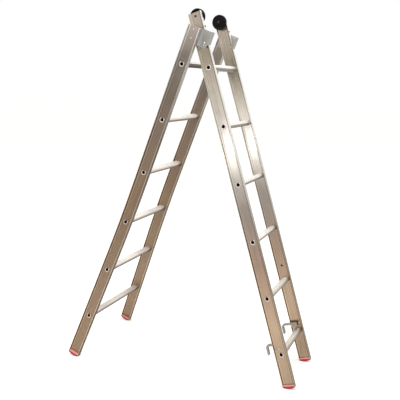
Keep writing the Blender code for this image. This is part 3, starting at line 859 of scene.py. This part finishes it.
# Painted light and shade on the rungs' sides and swaged ends, painted shade in their bores and a painted shadow
# under them.
fly_rung_metal = metal(
    "fly_rung_aluminium",
    fly_stand,
    RUNG_TONES,
    roughness=0.42,
    metallic=0.45,
    across=[
        (-1.70, (0.36, 0.31, 0.26)),
        (-1.33, (0.66, 0.61, 0.54)),
        (-1.03, (0.90, 0.86, 0.80)),
        (-0.10, (0.94, 0.91, 0.87)),
    ],
    ends=[(-1.70, (0.92, 0.80, 0.68)), (-0.10, (0.94, 0.90, 0.86))],
    bore={"Middle": -FLY_OFFSET, "First": FLY_RUNG_TOP, "Radius": RUNG_BORE, "Edge": -0.0025},
    shadow=0.7,
    contrast=0.08,
)
for i, z in enumerate(fly_rung_heights):
    rung = rung_shape(fly_web)
    bmesh.ops.translate(rung, verts=rung.verts, vec=(-FLY_OFFSET, 0.0, z))
    make_piece(f"fly_rung_{i + 1}", rung, fly_stand, fly_rung_metal, "fly")
fly_reaches = [fly_web - WEB / 2 - RIB_END_GAP] * RUNG_COUNT
rib_the_treads("fly", fly_stand, FLY_OFFSET, fly_rung_heights, fly_reaches, fly_rung_metal)


# Feet
# Red rubber caps under the four rails, each with a plug pressed up both sides of the web, a rim
# the shape of the rail's end, and a ribbed sole rounded so that it stands flat at any lean.

SOLE_RADIUS = 0.075
SOLE_THICKNESS = 0.012
SOLE_EDGE = 0.0008
SOLE_CORNER = 0.0006
SOLE_SIDE = 0.004
PLUG_HEIGHT = 0.009
PLUG_EDGE = 0.0012
PLUG_CHAMFER = 0.001
PLUG_SINK = 0.002
PLUG_GAP = 0.0004
SOLE_RIBS = 9
SOLE_RIB_DEPTH = 0.0007
RED = (0.42, 0.035, 0.055)
WORN_RED = (0.62, 0.22, 0.22)
# A painted highlight: the plugs paler above a level just over the rail's end, where they show in its channels.
RIM_HIGHLIGHT_RED = (0.80, 0.36, 0.33, 1.0)
RIM_HIGHLIGHT_LEVEL = 0.0025
RIM_HIGHLIGHT_BLUR = 0.0012


def make_moulded_skin():
    """Fine moulded grain, slow mottling, and paler rubbed marks."""
    group, given, result = new_group(
        "moulded_skin",
        "ShaderNodeTree",
        {"Vector": "Vector", "Grain": 900.0},
        {"Grain": "Float", "Mottle": "Float", "Rub": "Float"},
    )
    where = given["Vector"]
    links = {
        "Grain": noise(group, where, given["Grain"], 2.0),
        "Mottle": noise(group, where, 45.0, 4.0),
        "Rub": remap(group, noise(group, where, 160.0, 5.0, 0.7), 0.56, 0.75),
    }
    connect(group, result, links)
    return group


moulded_skin = make_moulded_skin()


def moulded(
    name, stand, colour, worn_colour, roughness, dust=0.15, shine=0.5, highlight_above=None
):
    """Rubber or plastic as it leaves the mould, mottled and rubbed paler in places, and with a
    painted highlight, paler, above a height along the section when one is given."""
    material, tree, shader = new_material(name)
    where, _, upright = along_section(tree, stand)
    skin = use_group(tree, moulded_skin, Vector=where)
    mottled = scaled(tree, colour, remap(tree, skin["Mottle"], *NOISE_REACH, 0.78, 1.2))
    rubbed = calculate(tree, "MULTIPLY", skin["Rub"], 0.35)
    finish = blend(tree, rubbed, mottled, (*worn_colour, 1.0))
    # Painted highlight, paler above the given height.
    if highlight_above is not None:
        height = split(tree, where)["Z"]
        start, end = highlight_above - RIM_HIGHLIGHT_BLUR, highlight_above + RIM_HIGHLIGHT_BLUR
        level = remap(tree, height, start, end)
        finish = blend(tree, level, finish, RIM_HIGHLIGHT_RED)
    bump = {"Height": skin["Grain"], "Strength": 0.3, "Distance": 0.0002}
    links = {
        "Base Color": dusty(tree, finish, where, upright, dust),
        "Roughness": remap(tree, skin["Mottle"], 0.0, 1.0, roughness - 0.08, roughness + 0.1),
        "Normal": add_node(tree, "ShaderNodeBump", bump).outputs[0],
    }
    connect(tree, shader, links)
    shader["Specular IOR Level"].default_value = shine
    return material


def sole_outline(half):
    """The foot seen along the rungs, as (x, z) points under the rail's end."""
    start = math.asin(half / SOLE_RADIUS)
    corners = [(half, -FIT, SOLE_CORNER), (-half, -FIT, SOLE_CORNER)]
    steps = SOLE_RIBS * 4
    outline = soften(corners + [(-half, -SOLE_SIDE, 0.0), (half, -SOLE_SIDE, 0.0)], 3)[:-2]
    for i in range(steps + 1):
        angle = start * (2 * i / steps - 1)
        depth = SOLE_RADIUS - (SOLE_RIB_DEPTH if i % 4 in (2, 3) else 0.0)
        z = SOLE_RADIUS - SOLE_THICKNESS - depth * math.cos(angle)
        outline.append((depth * math.sin(angle), z))
    return outline


def foot_shape(depth):
    """A sole under the rail's end, its faces drawn in a little at the edges, and two plugs."""
    half = RAIL_WIDTH / 2
    middle = -SOLE_THICKNESS / 2
    edge = SOLE_EDGE
    rings = []
    for inset, y in ((edge, 0.0), (0.0, edge), (0.0, depth - edge), (edge, depth)):
        scale = 1 - inset / half
        outline = sole_outline(half)
        rings.append([(x * scale, y, middle + (z - middle) * scale) for x, z in outline])
    bm = loft(rings)
    reach = half - FLANGE - FIT
    slot = WEB / 2 + FIT
    chamfer_start = PLUG_HEIGHT - PLUG_CHAMFER
    for low, high in ((PLUG_GAP, depth / 2 - slot), (depth / 2 + slot, depth - PLUG_GAP)):
        plug = []
        for inset, z in ((0.0, -PLUG_SINK), (0.0, chamfer_start), (PLUG_CHAMFER, PLUG_HEIGHT)):
            corners = [
                (reach - inset, low + inset, PLUG_EDGE),
                (reach - inset, high - inset, PLUG_EDGE),
                (inset - reach, high - inset, PLUG_EDGE),
                (inset - reach, low + inset, PLUG_EDGE),
            ]
            plug.append([(x, y, z) for x, y in soften(corners)])
        join(bm, loft(plug))
    return bm


for section, stand, offset, top, width, depth, bend in (
    ("base", base_stand, BASE_OFFSET, BASE_TOP, BASE_WIDTH, BASE_RAIL_DEPTH, spread),
    ("fly", fly_stand, FLY_OFFSET, FLY_TOP, FLY_WIDTH, FLY_RAIL_DEPTH, straight),
):
    end = top - RAIL_LENGTH
    name = f"{section}_foot_rubber"
    rubber = moulded(name, stand, RED, WORN_RED, 0.5, highlight_above=end + RIM_HIGHLIGHT_LEVEL)
    for label, side in SIDES.items():
        foot = foot_shape(depth)
        for vert in foot.verts:
            vert.co.x -= offset
            vert.co.z += end
            vert.co.y = side * (width / 2 - vert.co.y + bend(vert.co.z))
        make_piece(f"{section}_foot_{label}", foot, stand, rubber, section)


# Guide brackets
# Aluminium sheet folded to lie on the base rail, step in beside the fly rail, turn behind it and
# end in a short lip. Two rivets hold each one to the web of the base rail.

SHEET = 0.0025
SHEET_EDGE = 0.0004
PIVOT_RADIUS = 0.005
BRACKET_TOP = 0.067
BRACKET_BOTTOM = -0.020
LEG_START = -0.092
STEP_START = -0.032
STEP_END = -0.022
STEP_BEND = 0.004
LIP_BEND = 0.0025
ROUND_END = 0.0165
BACK_FACE = 0.0195
BACK_EDGE = 0.0029
BRACKET_LEG = BASE_WIDTH / 2 - BASE_RAIL_DEPTH - FIT - SHEET / 2
GUIDE_GAP = 0.0048
GUIDE_WALL = FLY_WIDTH / 2 + GUIDE_GAP + SHEET / 2
LIP_GAP = 0.0015
LIP_WALL = FLY_WIDTH / 2 - FLY_RAIL_DEPTH - LIP_GAP - SHEET / 2
LIP_LENGTH = 0.015
BEND = 0.006


def sheet_route():
    """The sheet's middle line as (x, y) points, with its folds rounded."""
    back = BACK_FACE + SHEET / 2
    corners = [
        (LEG_START, BRACKET_LEG, 0.0),
        (STEP_START, BRACKET_LEG, STEP_BEND),
        (STEP_END, GUIDE_WALL, STEP_BEND),
        (0.0, GUIDE_WALL, 0.0),
        (0.006, GUIDE_WALL, 0.0),
        (0.011, GUIDE_WALL, 0.0),
        (back, GUIDE_WALL, BEND),
        (back, LIP_WALL, LIP_BEND),
        (back - LIP_LENGTH, LIP_WALL, 0.0),
    ]
    return soften(corners, 6)


def lower_edge(x, y):
    """The lower edge: level, then round the pivot bolt, then the stop that the fly opens to."""
    if x <= 0.0:
        return BRACKET_BOTTOM
    if y > GUIDE_WALL - 0.0005:
        return -math.sqrt(BRACKET_BOTTOM**2 - min(x, ROUND_END) ** 2)
    return BACK_EDGE


def bracket_shape(side):
    """The sheet's thickness carried along its route, from its lower edge to its level top."""
    route = [Vector(point) for point in sheet_route()]
    rings = []
    for i, here in enumerate(route):
        ahead = route[min(i + 1, len(route) - 1)] - route[max(i - 1, 0)]
        across = Vector((-ahead.y, ahead.x)).normalized() * SHEET / 2
        low = lower_edge(here.x, here.y)
        corners = [(1, low), (1, BRACKET_TOP), (-1, BRACKET_TOP), (-1, low)]
        outline = soften([(way * SHEET / 2, z, SHEET_EDGE) for way, z in corners], 2)
        ring = []
        for x, z in outline:
            point = here + across * (x / (SHEET / 2))
            ring.append((point.x, side * point.y, z))
        rings.append(ring)
    return loft(rings)


bracket_metal = metal(
    "bracket_aluminium",
    base_stand,
    [(-0.1, (0.42, 0.42, 0.41)), (0.1, (0.46, 0.465, 0.465))],
    roughness=0.46,
    metallic=0.8,
    fineness=260.0,
    contrast=0.12,
)
pivot_hole = (0.0, 0.0, PIVOT_RADIUS + FIT)
for label, side in SIDES.items():
    bracket = drilled(bracket_shape(side), [pivot_hole] + rivet_holes)
    name = f"guide_bracket_{label}"
    make_piece(name, bracket, base_stand, bracket_metal, "base")


# Bracket rivets and hook bolts
# Aluminium rivets with domed heads hold the guide brackets, and plated bolts with six-sided
# heads hold the hooks. Each shows one head outside the web and one inside.

HOOK_PLATE = 0.004
HOOK_FACE = FLY_WIDTH / 2 - FLY_RAIL_DEPTH - FIT
RIVET_SIZES = {
    "Sides": 24,
    "Radius": 0.0055,
    "Height": 0.0022,
    "Shank Radius": RIVET_RADIUS,
    "Shank Length": 0.010,
}
BOLT_SIZES = {
    "Sides": 6,
    "Radius": 0.007,
    "Height": 0.004,
    "Shank Radius": HOOK_BOLT_RADIUS,
    "Shank Length": 0.009,
}


def make_fastener_heads():
    """Geometry nodes: one stepped, crowned head at each point, turned by its facing attribute
    so that it looks along +y or -y."""
    group, given, result = new_group(
        "fastener_heads",
        "GeometryNodeTree",
        {
            "Places": "Geometry",
            "Sides": 24,
            "Radius": 0.005,
            "Height": 0.002,
            "Shank Radius": 0.003,
            "Shank Length": 0.004,
            "Material": "Material",
        },
        {"Heads": "Geometry"},
    )

    def share(label, part):
        return calculate(group, "MULTIPLY", given[label], part)

    def lifted(shape, height):
        inputs = {"Geometry": shape.outputs[0], "Translation": combine(group, Z=height)}
        return add_node(group, "GeometryNodeTransform", inputs).outputs[0]

    parts = []
    steps = ((1.0, 1.0, 0.0, 0.5), (1.0, 0.86, 0.5, 0.3), (0.86, 0.45, 0.8, 0.2))
    for wide, narrow, low, tall in steps:
        sizes = {
            "Vertices": given["Sides"],
            "Radius Top": share("Radius", narrow),
            "Radius Bottom": share("Radius", wide),
            "Depth": share("Height", tall),
        }
        layer = add_node(group, "GeometryNodeMeshCone", sizes, fill_type="NGON")
        parts.append(lifted(layer, share("Height", low)))
    sizes = {"Vertices": 20, "Radius": given["Shank Radius"], "Depth": given["Shank Length"]}
    shank = add_node(group, "GeometryNodeMeshCylinder", sizes)
    parts.append(lifted(shank, share("Shank Length", -0.5)))
    whole = add_node(group, "GeometryNodeJoinGeometry")
    for part in parts:
        group.links.new(part, whole.inputs[0])
    tilt = calculate(group, "MULTIPLY", read_attribute(group, "facing"), -math.pi / 2)
    turn = combine(group, X=tilt)
    heads = copies(group, given["Places"], whole.outputs[0], Rotation=turn)
    connect(group, result, {"Heads": finished(group, heads, given["Material"])})
    return group


fastener_heads = make_fastener_heads()


def fit_heads(fastener, words, places, outer, inner, sizes, stand, material, body):
    """The two heads of each fastener, outside and inside, on both sides of the ladder."""
    points, facing = [], []
    for x, z in places:
        for side in SIDES.values():
            points += [(x, side * outer, z), (x, side * inner, z)]
            facing += [side, -side]
    name = f"{fastener}_heads"
    values = {**sizes, "Material": material}
    mesh = grow(name, points, "facing", facing, fastener_heads, values, stand)
    stands_for = [f"{fastener}_{word}_{label}" for word in words for label in SIDES]
    place_mesh(name, mesh, material, body, stands_for)


rivet_metal = metal(
    "rivet_aluminium",
    base_stand,
    [(-0.1, (0.62, 0.60, 0.57)), (0.1, (0.62, 0.60, 0.57))],
    roughness=0.3,
    metallic=0.9,
    fineness=300.0,
    contrast=0.1,
)
fit_heads(
    "bracket_rivet",
    ("upper", "lower"),
    [(-BASE_OFFSET, z) for z in RIVET_HEIGHTS],
    base_web + WEB / 2 + FIT,
    BRACKET_LEG - SHEET / 2 - FIT,
    RIVET_SIZES,
    base_stand,
    rivet_metal,
    "base",
)
plated_steel = metal(
    "plated_steel",
    fly_stand,
    [(-1.81, (0.50, 0.48, 0.44)), (0.16, (0.58, 0.57, 0.54))],
    roughness=0.34,
    metallic=0.92,
    fineness=300.0,
    contrast=0.12,
)
fit_heads(
    "hook_bolt",
    ("front", "back"),
    [(x, HOOK_BOLT_HEIGHT) for x in HOOK_BOLT_PLACES],
    fly_web + WEB / 2 + FIT,
    HOOK_FACE - HOOK_PLATE - FIT,
    BOLT_SIZES,
    fly_stand,
    plated_steel,
    "fly",
)


# Pivot bolts and buttons
# A domed bolt through each guide wall carries a pale nylon button that runs in the fly rail's
# outer channel, so the fly both turns about the bolt and slides along it.

PIVOT_HEAD_RADIUS = 0.010
PIVOT_HEAD = 0.0045
HEAD_FACE = GUIDE_WALL + SHEET / 2 + FIT
BUTTON_THICKNESS = 0.0075
PIVOT_END = GUIDE_WALL - SHEET / 2 - FIT - BUTTON_THICKNESS - FIT

for label, side in SIDES.items():
    profile = [
        (0.0012, HEAD_FACE + PIVOT_HEAD - 0.0003),
        (0.0035, HEAD_FACE + PIVOT_HEAD),
        (0.0062, HEAD_FACE + PIVOT_HEAD * 0.88),
        (0.0080, HEAD_FACE + PIVOT_HEAD * 0.62),
        (0.0086, HEAD_FACE + 0.0014),
        (PIVOT_HEAD_RADIUS, HEAD_FACE + 0.0011),
        (PIVOT_HEAD_RADIUS, HEAD_FACE),
        (PIVOT_RADIUS, HEAD_FACE),
        (PIVOT_RADIUS, PIVOT_END),
        (0.0070, PIVOT_END),
        (0.0066, PIVOT_END - 0.0017),
        (0.0040, PIVOT_END - 0.0019),
    ]
    bolt = turned([(radius, side * y) for radius, y in profile])
    name = f"pivot_bolt_{label}"
    make_piece(name, bolt, fly_stand, plated_steel, "pivots")


def give_finish(name, material):
    """Sets the material of a node that is shown as it came."""
    materials = frame["nodes"][name].data.materials
    materials.clear()
    materials.append(material)


nylon = moulded("pale_nylon", fly_stand, (0.62, 0.60, 0.54), (0.5, 0.48, 0.42), 0.42, dust=0.05)
for label in SIDES:
    give_finish(f"pivot_button_{label}", nylon)


# Wheels
# Two small black wheels at the top of the fly, inboard of its rails, that run up a wall as the
# ladder is raised. Each has a ribbed rubber tyre on a plastic hub, on an axle bolt and spacer.

WHEEL_RADIUS = 0.040
WHEEL_WIDTH = 0.022
WHEEL_GAP = 0.003
WHEEL_FACE = FLY_WIDTH / 2 - FLY_RAIL_DEPTH - WHEEL_GAP
WHEEL_END = WHEEL_FACE - WHEEL_WIDTH
HUB_RADIUS = 0.018
NUT_THICKNESS = 0.005
AXLE_PAST_NUT = 0.0015

TYRE_BLACK = (0.005, 0.004, 0.005)
WORN_TYRE = (0.012, 0.010, 0.012)
HUB_BLACK = (0.007, 0.006, 0.007)
WORN_HUB = (0.016, 0.014, 0.015)
tyre_rubber = moulded(
    "tyre_rubber", fly_stand, TYRE_BLACK, WORN_TYRE, 0.6, dust=0.02, shine=0.12
)
hub_plastic = moulded(
    "hub_plastic", fly_stand, HUB_BLACK, WORN_HUB, 0.5, dust=0.02, shine=0.16
)
black_steel = metal(
    "black_steel",
    fly_stand,
    [(-1.81, (0.035, 0.033, 0.030)), (0.16, (0.045, 0.043, 0.040))],
    roughness=0.4,
    metallic=0.7,
    fineness=250.0,
    contrast=0.2,
)


def tyre_profile():
    """From the hub out over one sidewall, across the ribbed tread, and back down the other."""
    rise = 0.0026
    side_wall = [
        (HUB_RADIUS + FIT, 0.0),
        (HUB_RADIUS + 0.0020, 0.0),
        (HUB_RADIUS + 0.0032, 0.0012),
        (WHEEL_RADIUS - 0.0085, 0.0012),
        (WHEEL_RADIUS - 0.0070, 0.0),
        (WHEEL_RADIUS - 0.0045, 0.0),
        (WHEEL_RADIUS - 0.0020, rise * 0.35),
        (WHEEL_RADIUS - 0.0006, rise),
    ]
    tread = []
    for i in range(3):
        start = 0.0040 + i * 0.0050
        tread += [
            (WHEEL_RADIUS, start),
            (WHEEL_RADIUS, start + 0.0036),
            (WHEEL_RADIUS - 0.0010, start + 0.0040),
            (WHEEL_RADIUS - 0.0010, start + 0.0046),
        ]
    tread = tread[:-2]
    return side_wall + tread + [(r, WHEEL_WIDTH - y) for r, y in reversed(side_wall)]


def hub_profile():
    """A raised boss and rim with a dished face between them, the same on both sides."""
    face = [
        (AXLE_RADIUS + FIT, 0.0),
        (0.0092, 0.0),
        (0.0098, 0.0006),
        (0.0106, 0.0030),
        (0.0140, 0.0030),
        (0.0152, 0.0006),
        (0.0158, 0.0),
        (HUB_RADIUS - 0.0004, 0.0),
        (HUB_RADIUS, 0.0006),
    ]
    return face + [(r, WHEEL_WIDTH - y) for r, y in reversed(face)]


axle_place = (-FLY_OFFSET, 0.0, AXLE_HEIGHT)
head = fly_web + WEB / 2 + FIT
axle_end = WHEEL_END - FIT - NUT_THICKNESS - AXLE_PAST_NUT
for label, side in SIDES.items():
    for part, profile, material, slot in (
        ("wheel_tyre", tyre_profile(), tyre_rubber, "wheel_rubber"),
        ("wheel_hub", hub_profile(), hub_plastic, "black_plastic"),
    ):
        points = [(radius, side * (WHEEL_FACE - y)) for radius, y in profile]
        shape = turned(points, 64, hollow=True)
        bmesh.ops.translate(shape, verts=shape.verts, vec=axle_place)
        make_piece(f"{part}_{label}", shape, fly_stand, material, f"wheel_{label}")
    profile = [
        (0.0030, head + 0.0025),
        (0.0036, head + 0.0039),
        (0.0046, head + 0.0036),
        (0.0055, head + 0.0022),
        (0.0055, head),
        (AXLE_RADIUS, head),
        (AXLE_RADIUS, axle_end + 0.0006),
        (0.0044, axle_end),
    ]
    axle = turned([(radius, side * y) for radius, y in profile])
    bmesh.ops.translate(axle, verts=axle.verts, vec=axle_place)
    make_piece(f"wheel_axle_{label}", axle, fly_stand, black_steel, "fly")
    give_finish(f"wheel_spacer_{label}", rivet_metal)
    give_finish(f"axle_nut_{label}", black_steel)


# Hooks
# Flat steel bar bent down into a rounded lip that drops over a base rung. Its side plate lies on
# the inner face of the fly rail, just above the lowest rung, and takes the two hook bolts.

HOOK_HEIGHT = -1.585
HOOK_BAR = 0.010
HOOK_EDGE = 0.0009
PLATE_EDGE = 0.0006
HOOK_WIDTH = 0.020
HOOK_BEND = 0.017
HOOK_LIP = 0.058
LIP_INNER = -0.0705
HOOK_INBOARD = 0.008
HOOK_DROP = 0.028
LIP_ROUNDING = 0.0048
PLATE_SINK = 0.002
PLATE_CORNER = 0.006


def hook_outline():
    """The bent bar seen along the rungs, as (x, z) points about the rail's middle."""
    lip_outer = LIP_INNER - HOOK_BAR
    corners = [
        (HOOK_INBOARD, 0.0, 0.002),
        (lip_outer, 0.0, HOOK_BEND),
        (lip_outer, -HOOK_LIP, LIP_ROUNDING),
        (LIP_INNER, -HOOK_LIP, LIP_ROUNDING),
        (LIP_INNER, -HOOK_BAR, HOOK_BEND - HOOK_BAR),
        (HOOK_INBOARD, -HOOK_BAR, 0.0),
    ]
    return soften(corners, 8)


def plate_outline():
    """The side plate that hangs from the bar against the rail."""
    front = -RAIL_WIDTH / 2 + FIT
    corners = [
        (HOOK_INBOARD, -PLATE_SINK, 0.0015),
        (front, -PLATE_SINK, 0.0),
        (front, -HOOK_DROP, PLATE_CORNER),
        (HOOK_INBOARD, -HOOK_DROP, PLATE_CORNER),
    ]
    return soften(corners, 6)


def inset_outline(outline, inset, y):
    """The outline drawn in by the inset along its own corners' bisectors."""
    ring = []
    area = sum(
        outline[i - 1][0] * outline[i][1] - outline[i][0] * outline[i - 1][1]
        for i in range(len(outline))
    )
    inward = 1 if area > 0 else -1
    for i, (x, z) in enumerate(outline):
        before = Vector(outline[i - 1])
        after = Vector(outline[(i + 1) % len(outline)])
        along = (after - before).normalized()
        ring.append((x - inward * along.y * inset, y, z + inward * along.x * inset))
    return ring


def slab(outline, start, end, edge):
    """An (x, z) outline carried along y, its rim rounded off by the edge size."""
    rings = []
    way = 1 if end > start else -1
    for inset, y in (
        (edge, start),
        (edge * 0.3, start + way * edge * 0.3),
        (0.0, start + way * edge),
        (0.0, end - way * edge),
        (edge * 0.3, end - way * edge * 0.3),
        (edge, end),
    ):
        rings.append(inset_outline(outline, inset, y))
    return loft(rings)


hook_steel = metal(
    "hook_steel",
    fly_stand,
    [(-1.70, (0.36, 0.34, 0.31)), (-1.55, (0.40, 0.38, 0.34))],
    roughness=0.5,
    metallic=0.7,
    fineness=180.0,
    contrast=0.18,
)
for label, side in SIDES.items():
    hook = slab(hook_outline(), side * HOOK_FACE, side * (HOOK_FACE - HOOK_WIDTH), HOOK_EDGE)
    plate_back = side * (HOOK_FACE - HOOK_PLATE)
    plate = slab(plate_outline(), side * HOOK_FACE, plate_back, PLATE_EDGE)
    join(hook, plate)
    bmesh.ops.translate(hook, verts=hook.verts, vec=(-FLY_OFFSET, 0.0, HOOK_HEIGHT))
    make_piece(f"rung_hook_{label}", hook, fly_stand, hook_steel, "fly")


# Stop screws
# A dark pan-head screw in the back flange of each fly rail. Its head lands on the top edge of
# the guide bracket and keeps the fly from dropping through.

STOP_HEAD_RADIUS = 0.0045
STOP_HEAD = 0.003
STOP_HEIGHT = FLY_TOP - 0.079
STOP_SIDE = (FLY_WIDTH / 2 - FLY_RAIL_DEPTH + fly_web - WEB / 2) / 2
STOP_SHANK_RADIUS = 0.0025

for label, side in SIDES.items():
    profile = [
        (0.0006, STOP_HEAD * 0.55),
        (0.0014, STOP_HEAD * 0.62),
        (0.0018, STOP_HEAD + FIT - 0.0002),
        (0.0026, STOP_HEAD + FIT),
        (0.0037, STOP_HEAD * 0.82),
        (STOP_HEAD_RADIUS, STOP_HEAD * 0.45),
        (STOP_HEAD_RADIUS, FIT),
        (STOP_SHANK_RADIUS, FIT),
        (STOP_SHANK_RADIUS, -FLANGE),
    ]
    screw = turned(profile, 28)
    screw.transform(Matrix.Rotation(-math.pi / 2, 4, "Z"))
    place = (RAIL_WIDTH / 2 - FLY_OFFSET, side * STOP_SIDE, STOP_HEIGHT)
    bmesh.ops.translate(screw, verts=screw.verts, vec=place)
    make_piece(f"fly_stop_screw_{label}", screw, fly_stand, black_steel, "fly")


# Floor, light and camera
# A plain pale floor that meets a plain pale background, with a broad soft light above and a
# small weak one low in front that lights the rails' bright band, also painted into their tones.

FLOOR_HALF = 60

corners = [(-1, -1), (1, -1), (1, 1), (-1, 1)]
floor_mesh = bpy.data.meshes.new("floor")
floor_points = [(x * FLOOR_HALF, y * FLOOR_HALF, 0) for x, y in corners]
floor_mesh.from_pydata(floor_points, [], [(0, 1, 2, 3)])
floor = bpy.data.objects.new("floor", floor_mesh)
bpy.context.scene.collection.objects.link(floor)
pale_floor, floor_tree, floor_shader = new_material("pale_floor")
floor_shader["Base Color"].default_value = (0.86, 0.86, 0.85, 1)
floor_shader["Roughness"].default_value = 0.8
floor_shader["Emission Color"].default_value = (0.3, 0.3, 0.3, 1)
floor_rays = add_node(floor_tree, "ShaderNodeLightPath").outputs
connect(floor_tree, floor_shader, {"Emission Strength": floor_rays["Is Camera Ray"]})
floor_mesh.materials.append(pale_floor)

world = bpy.data.worlds.new("studio")
bpy.context.scene.world = world
world.use_nodes = True
sky = world.node_tree
toward = add_node(sky, "ShaderNodeTexCoord").outputs["Generated"]
back_share = remap(sky, split(sky, toward)["Y"], -0.7, 0.5)
room = blend(sky, back_share, (0.66, 0.60, 0.54, 1), (1.0, 1.0, 0.99, 1))
rays = add_node(sky, "ShaderNodeLightPath").outputs
seen = blend(sky, rays["Is Camera Ray"], room, (1.0, 1.0, 1.0, 1))
background = sky.nodes["Background"].inputs
connect(sky, background, {"Color": seen})
background["Strength"].default_value = 1.0
bpy.context.scene.view_settings.view_transform = "Standard"


def area_light(name, place, target, size, power, colour):
    lamp = bpy.data.lights.new(name, "AREA")
    lamp.shape = "DISK"
    lamp.size = size
    lamp.energy = power
    lamp.color = colour
    light = bpy.data.objects.new(name, lamp)
    light.location = place
    aim = Vector(target) - Vector(place)
    light.rotation_euler = aim.to_track_quat("-Z", "Y").to_euler()
    bpy.context.scene.collection.objects.link(light)


area_light("top_light", (0.4, -0.6, 4.2), (0.0, 0.0, 0.9), 2.4, 110.0, (1.0, 0.98, 0.95))
area_light("front_light", (-0.92, -3.05, 0.88), (0.26, -0.18, 1.22), 0.20, 2.2, (1.0, 0.99, 0.98))

lens = bpy.data.cameras.new("camera")
lens.lens = 53.0
lens.sensor_width = 36.0
camera = bpy.data.objects.new("camera", lens)
camera.location = (1.347, -2.966, 1.553)
camera.rotation_euler = (math.radians(79.13), 0.0, math.radians(23.69))
bpy.context.scene.collection.objects.link(camera)
bpy.context.scene.camera = camera
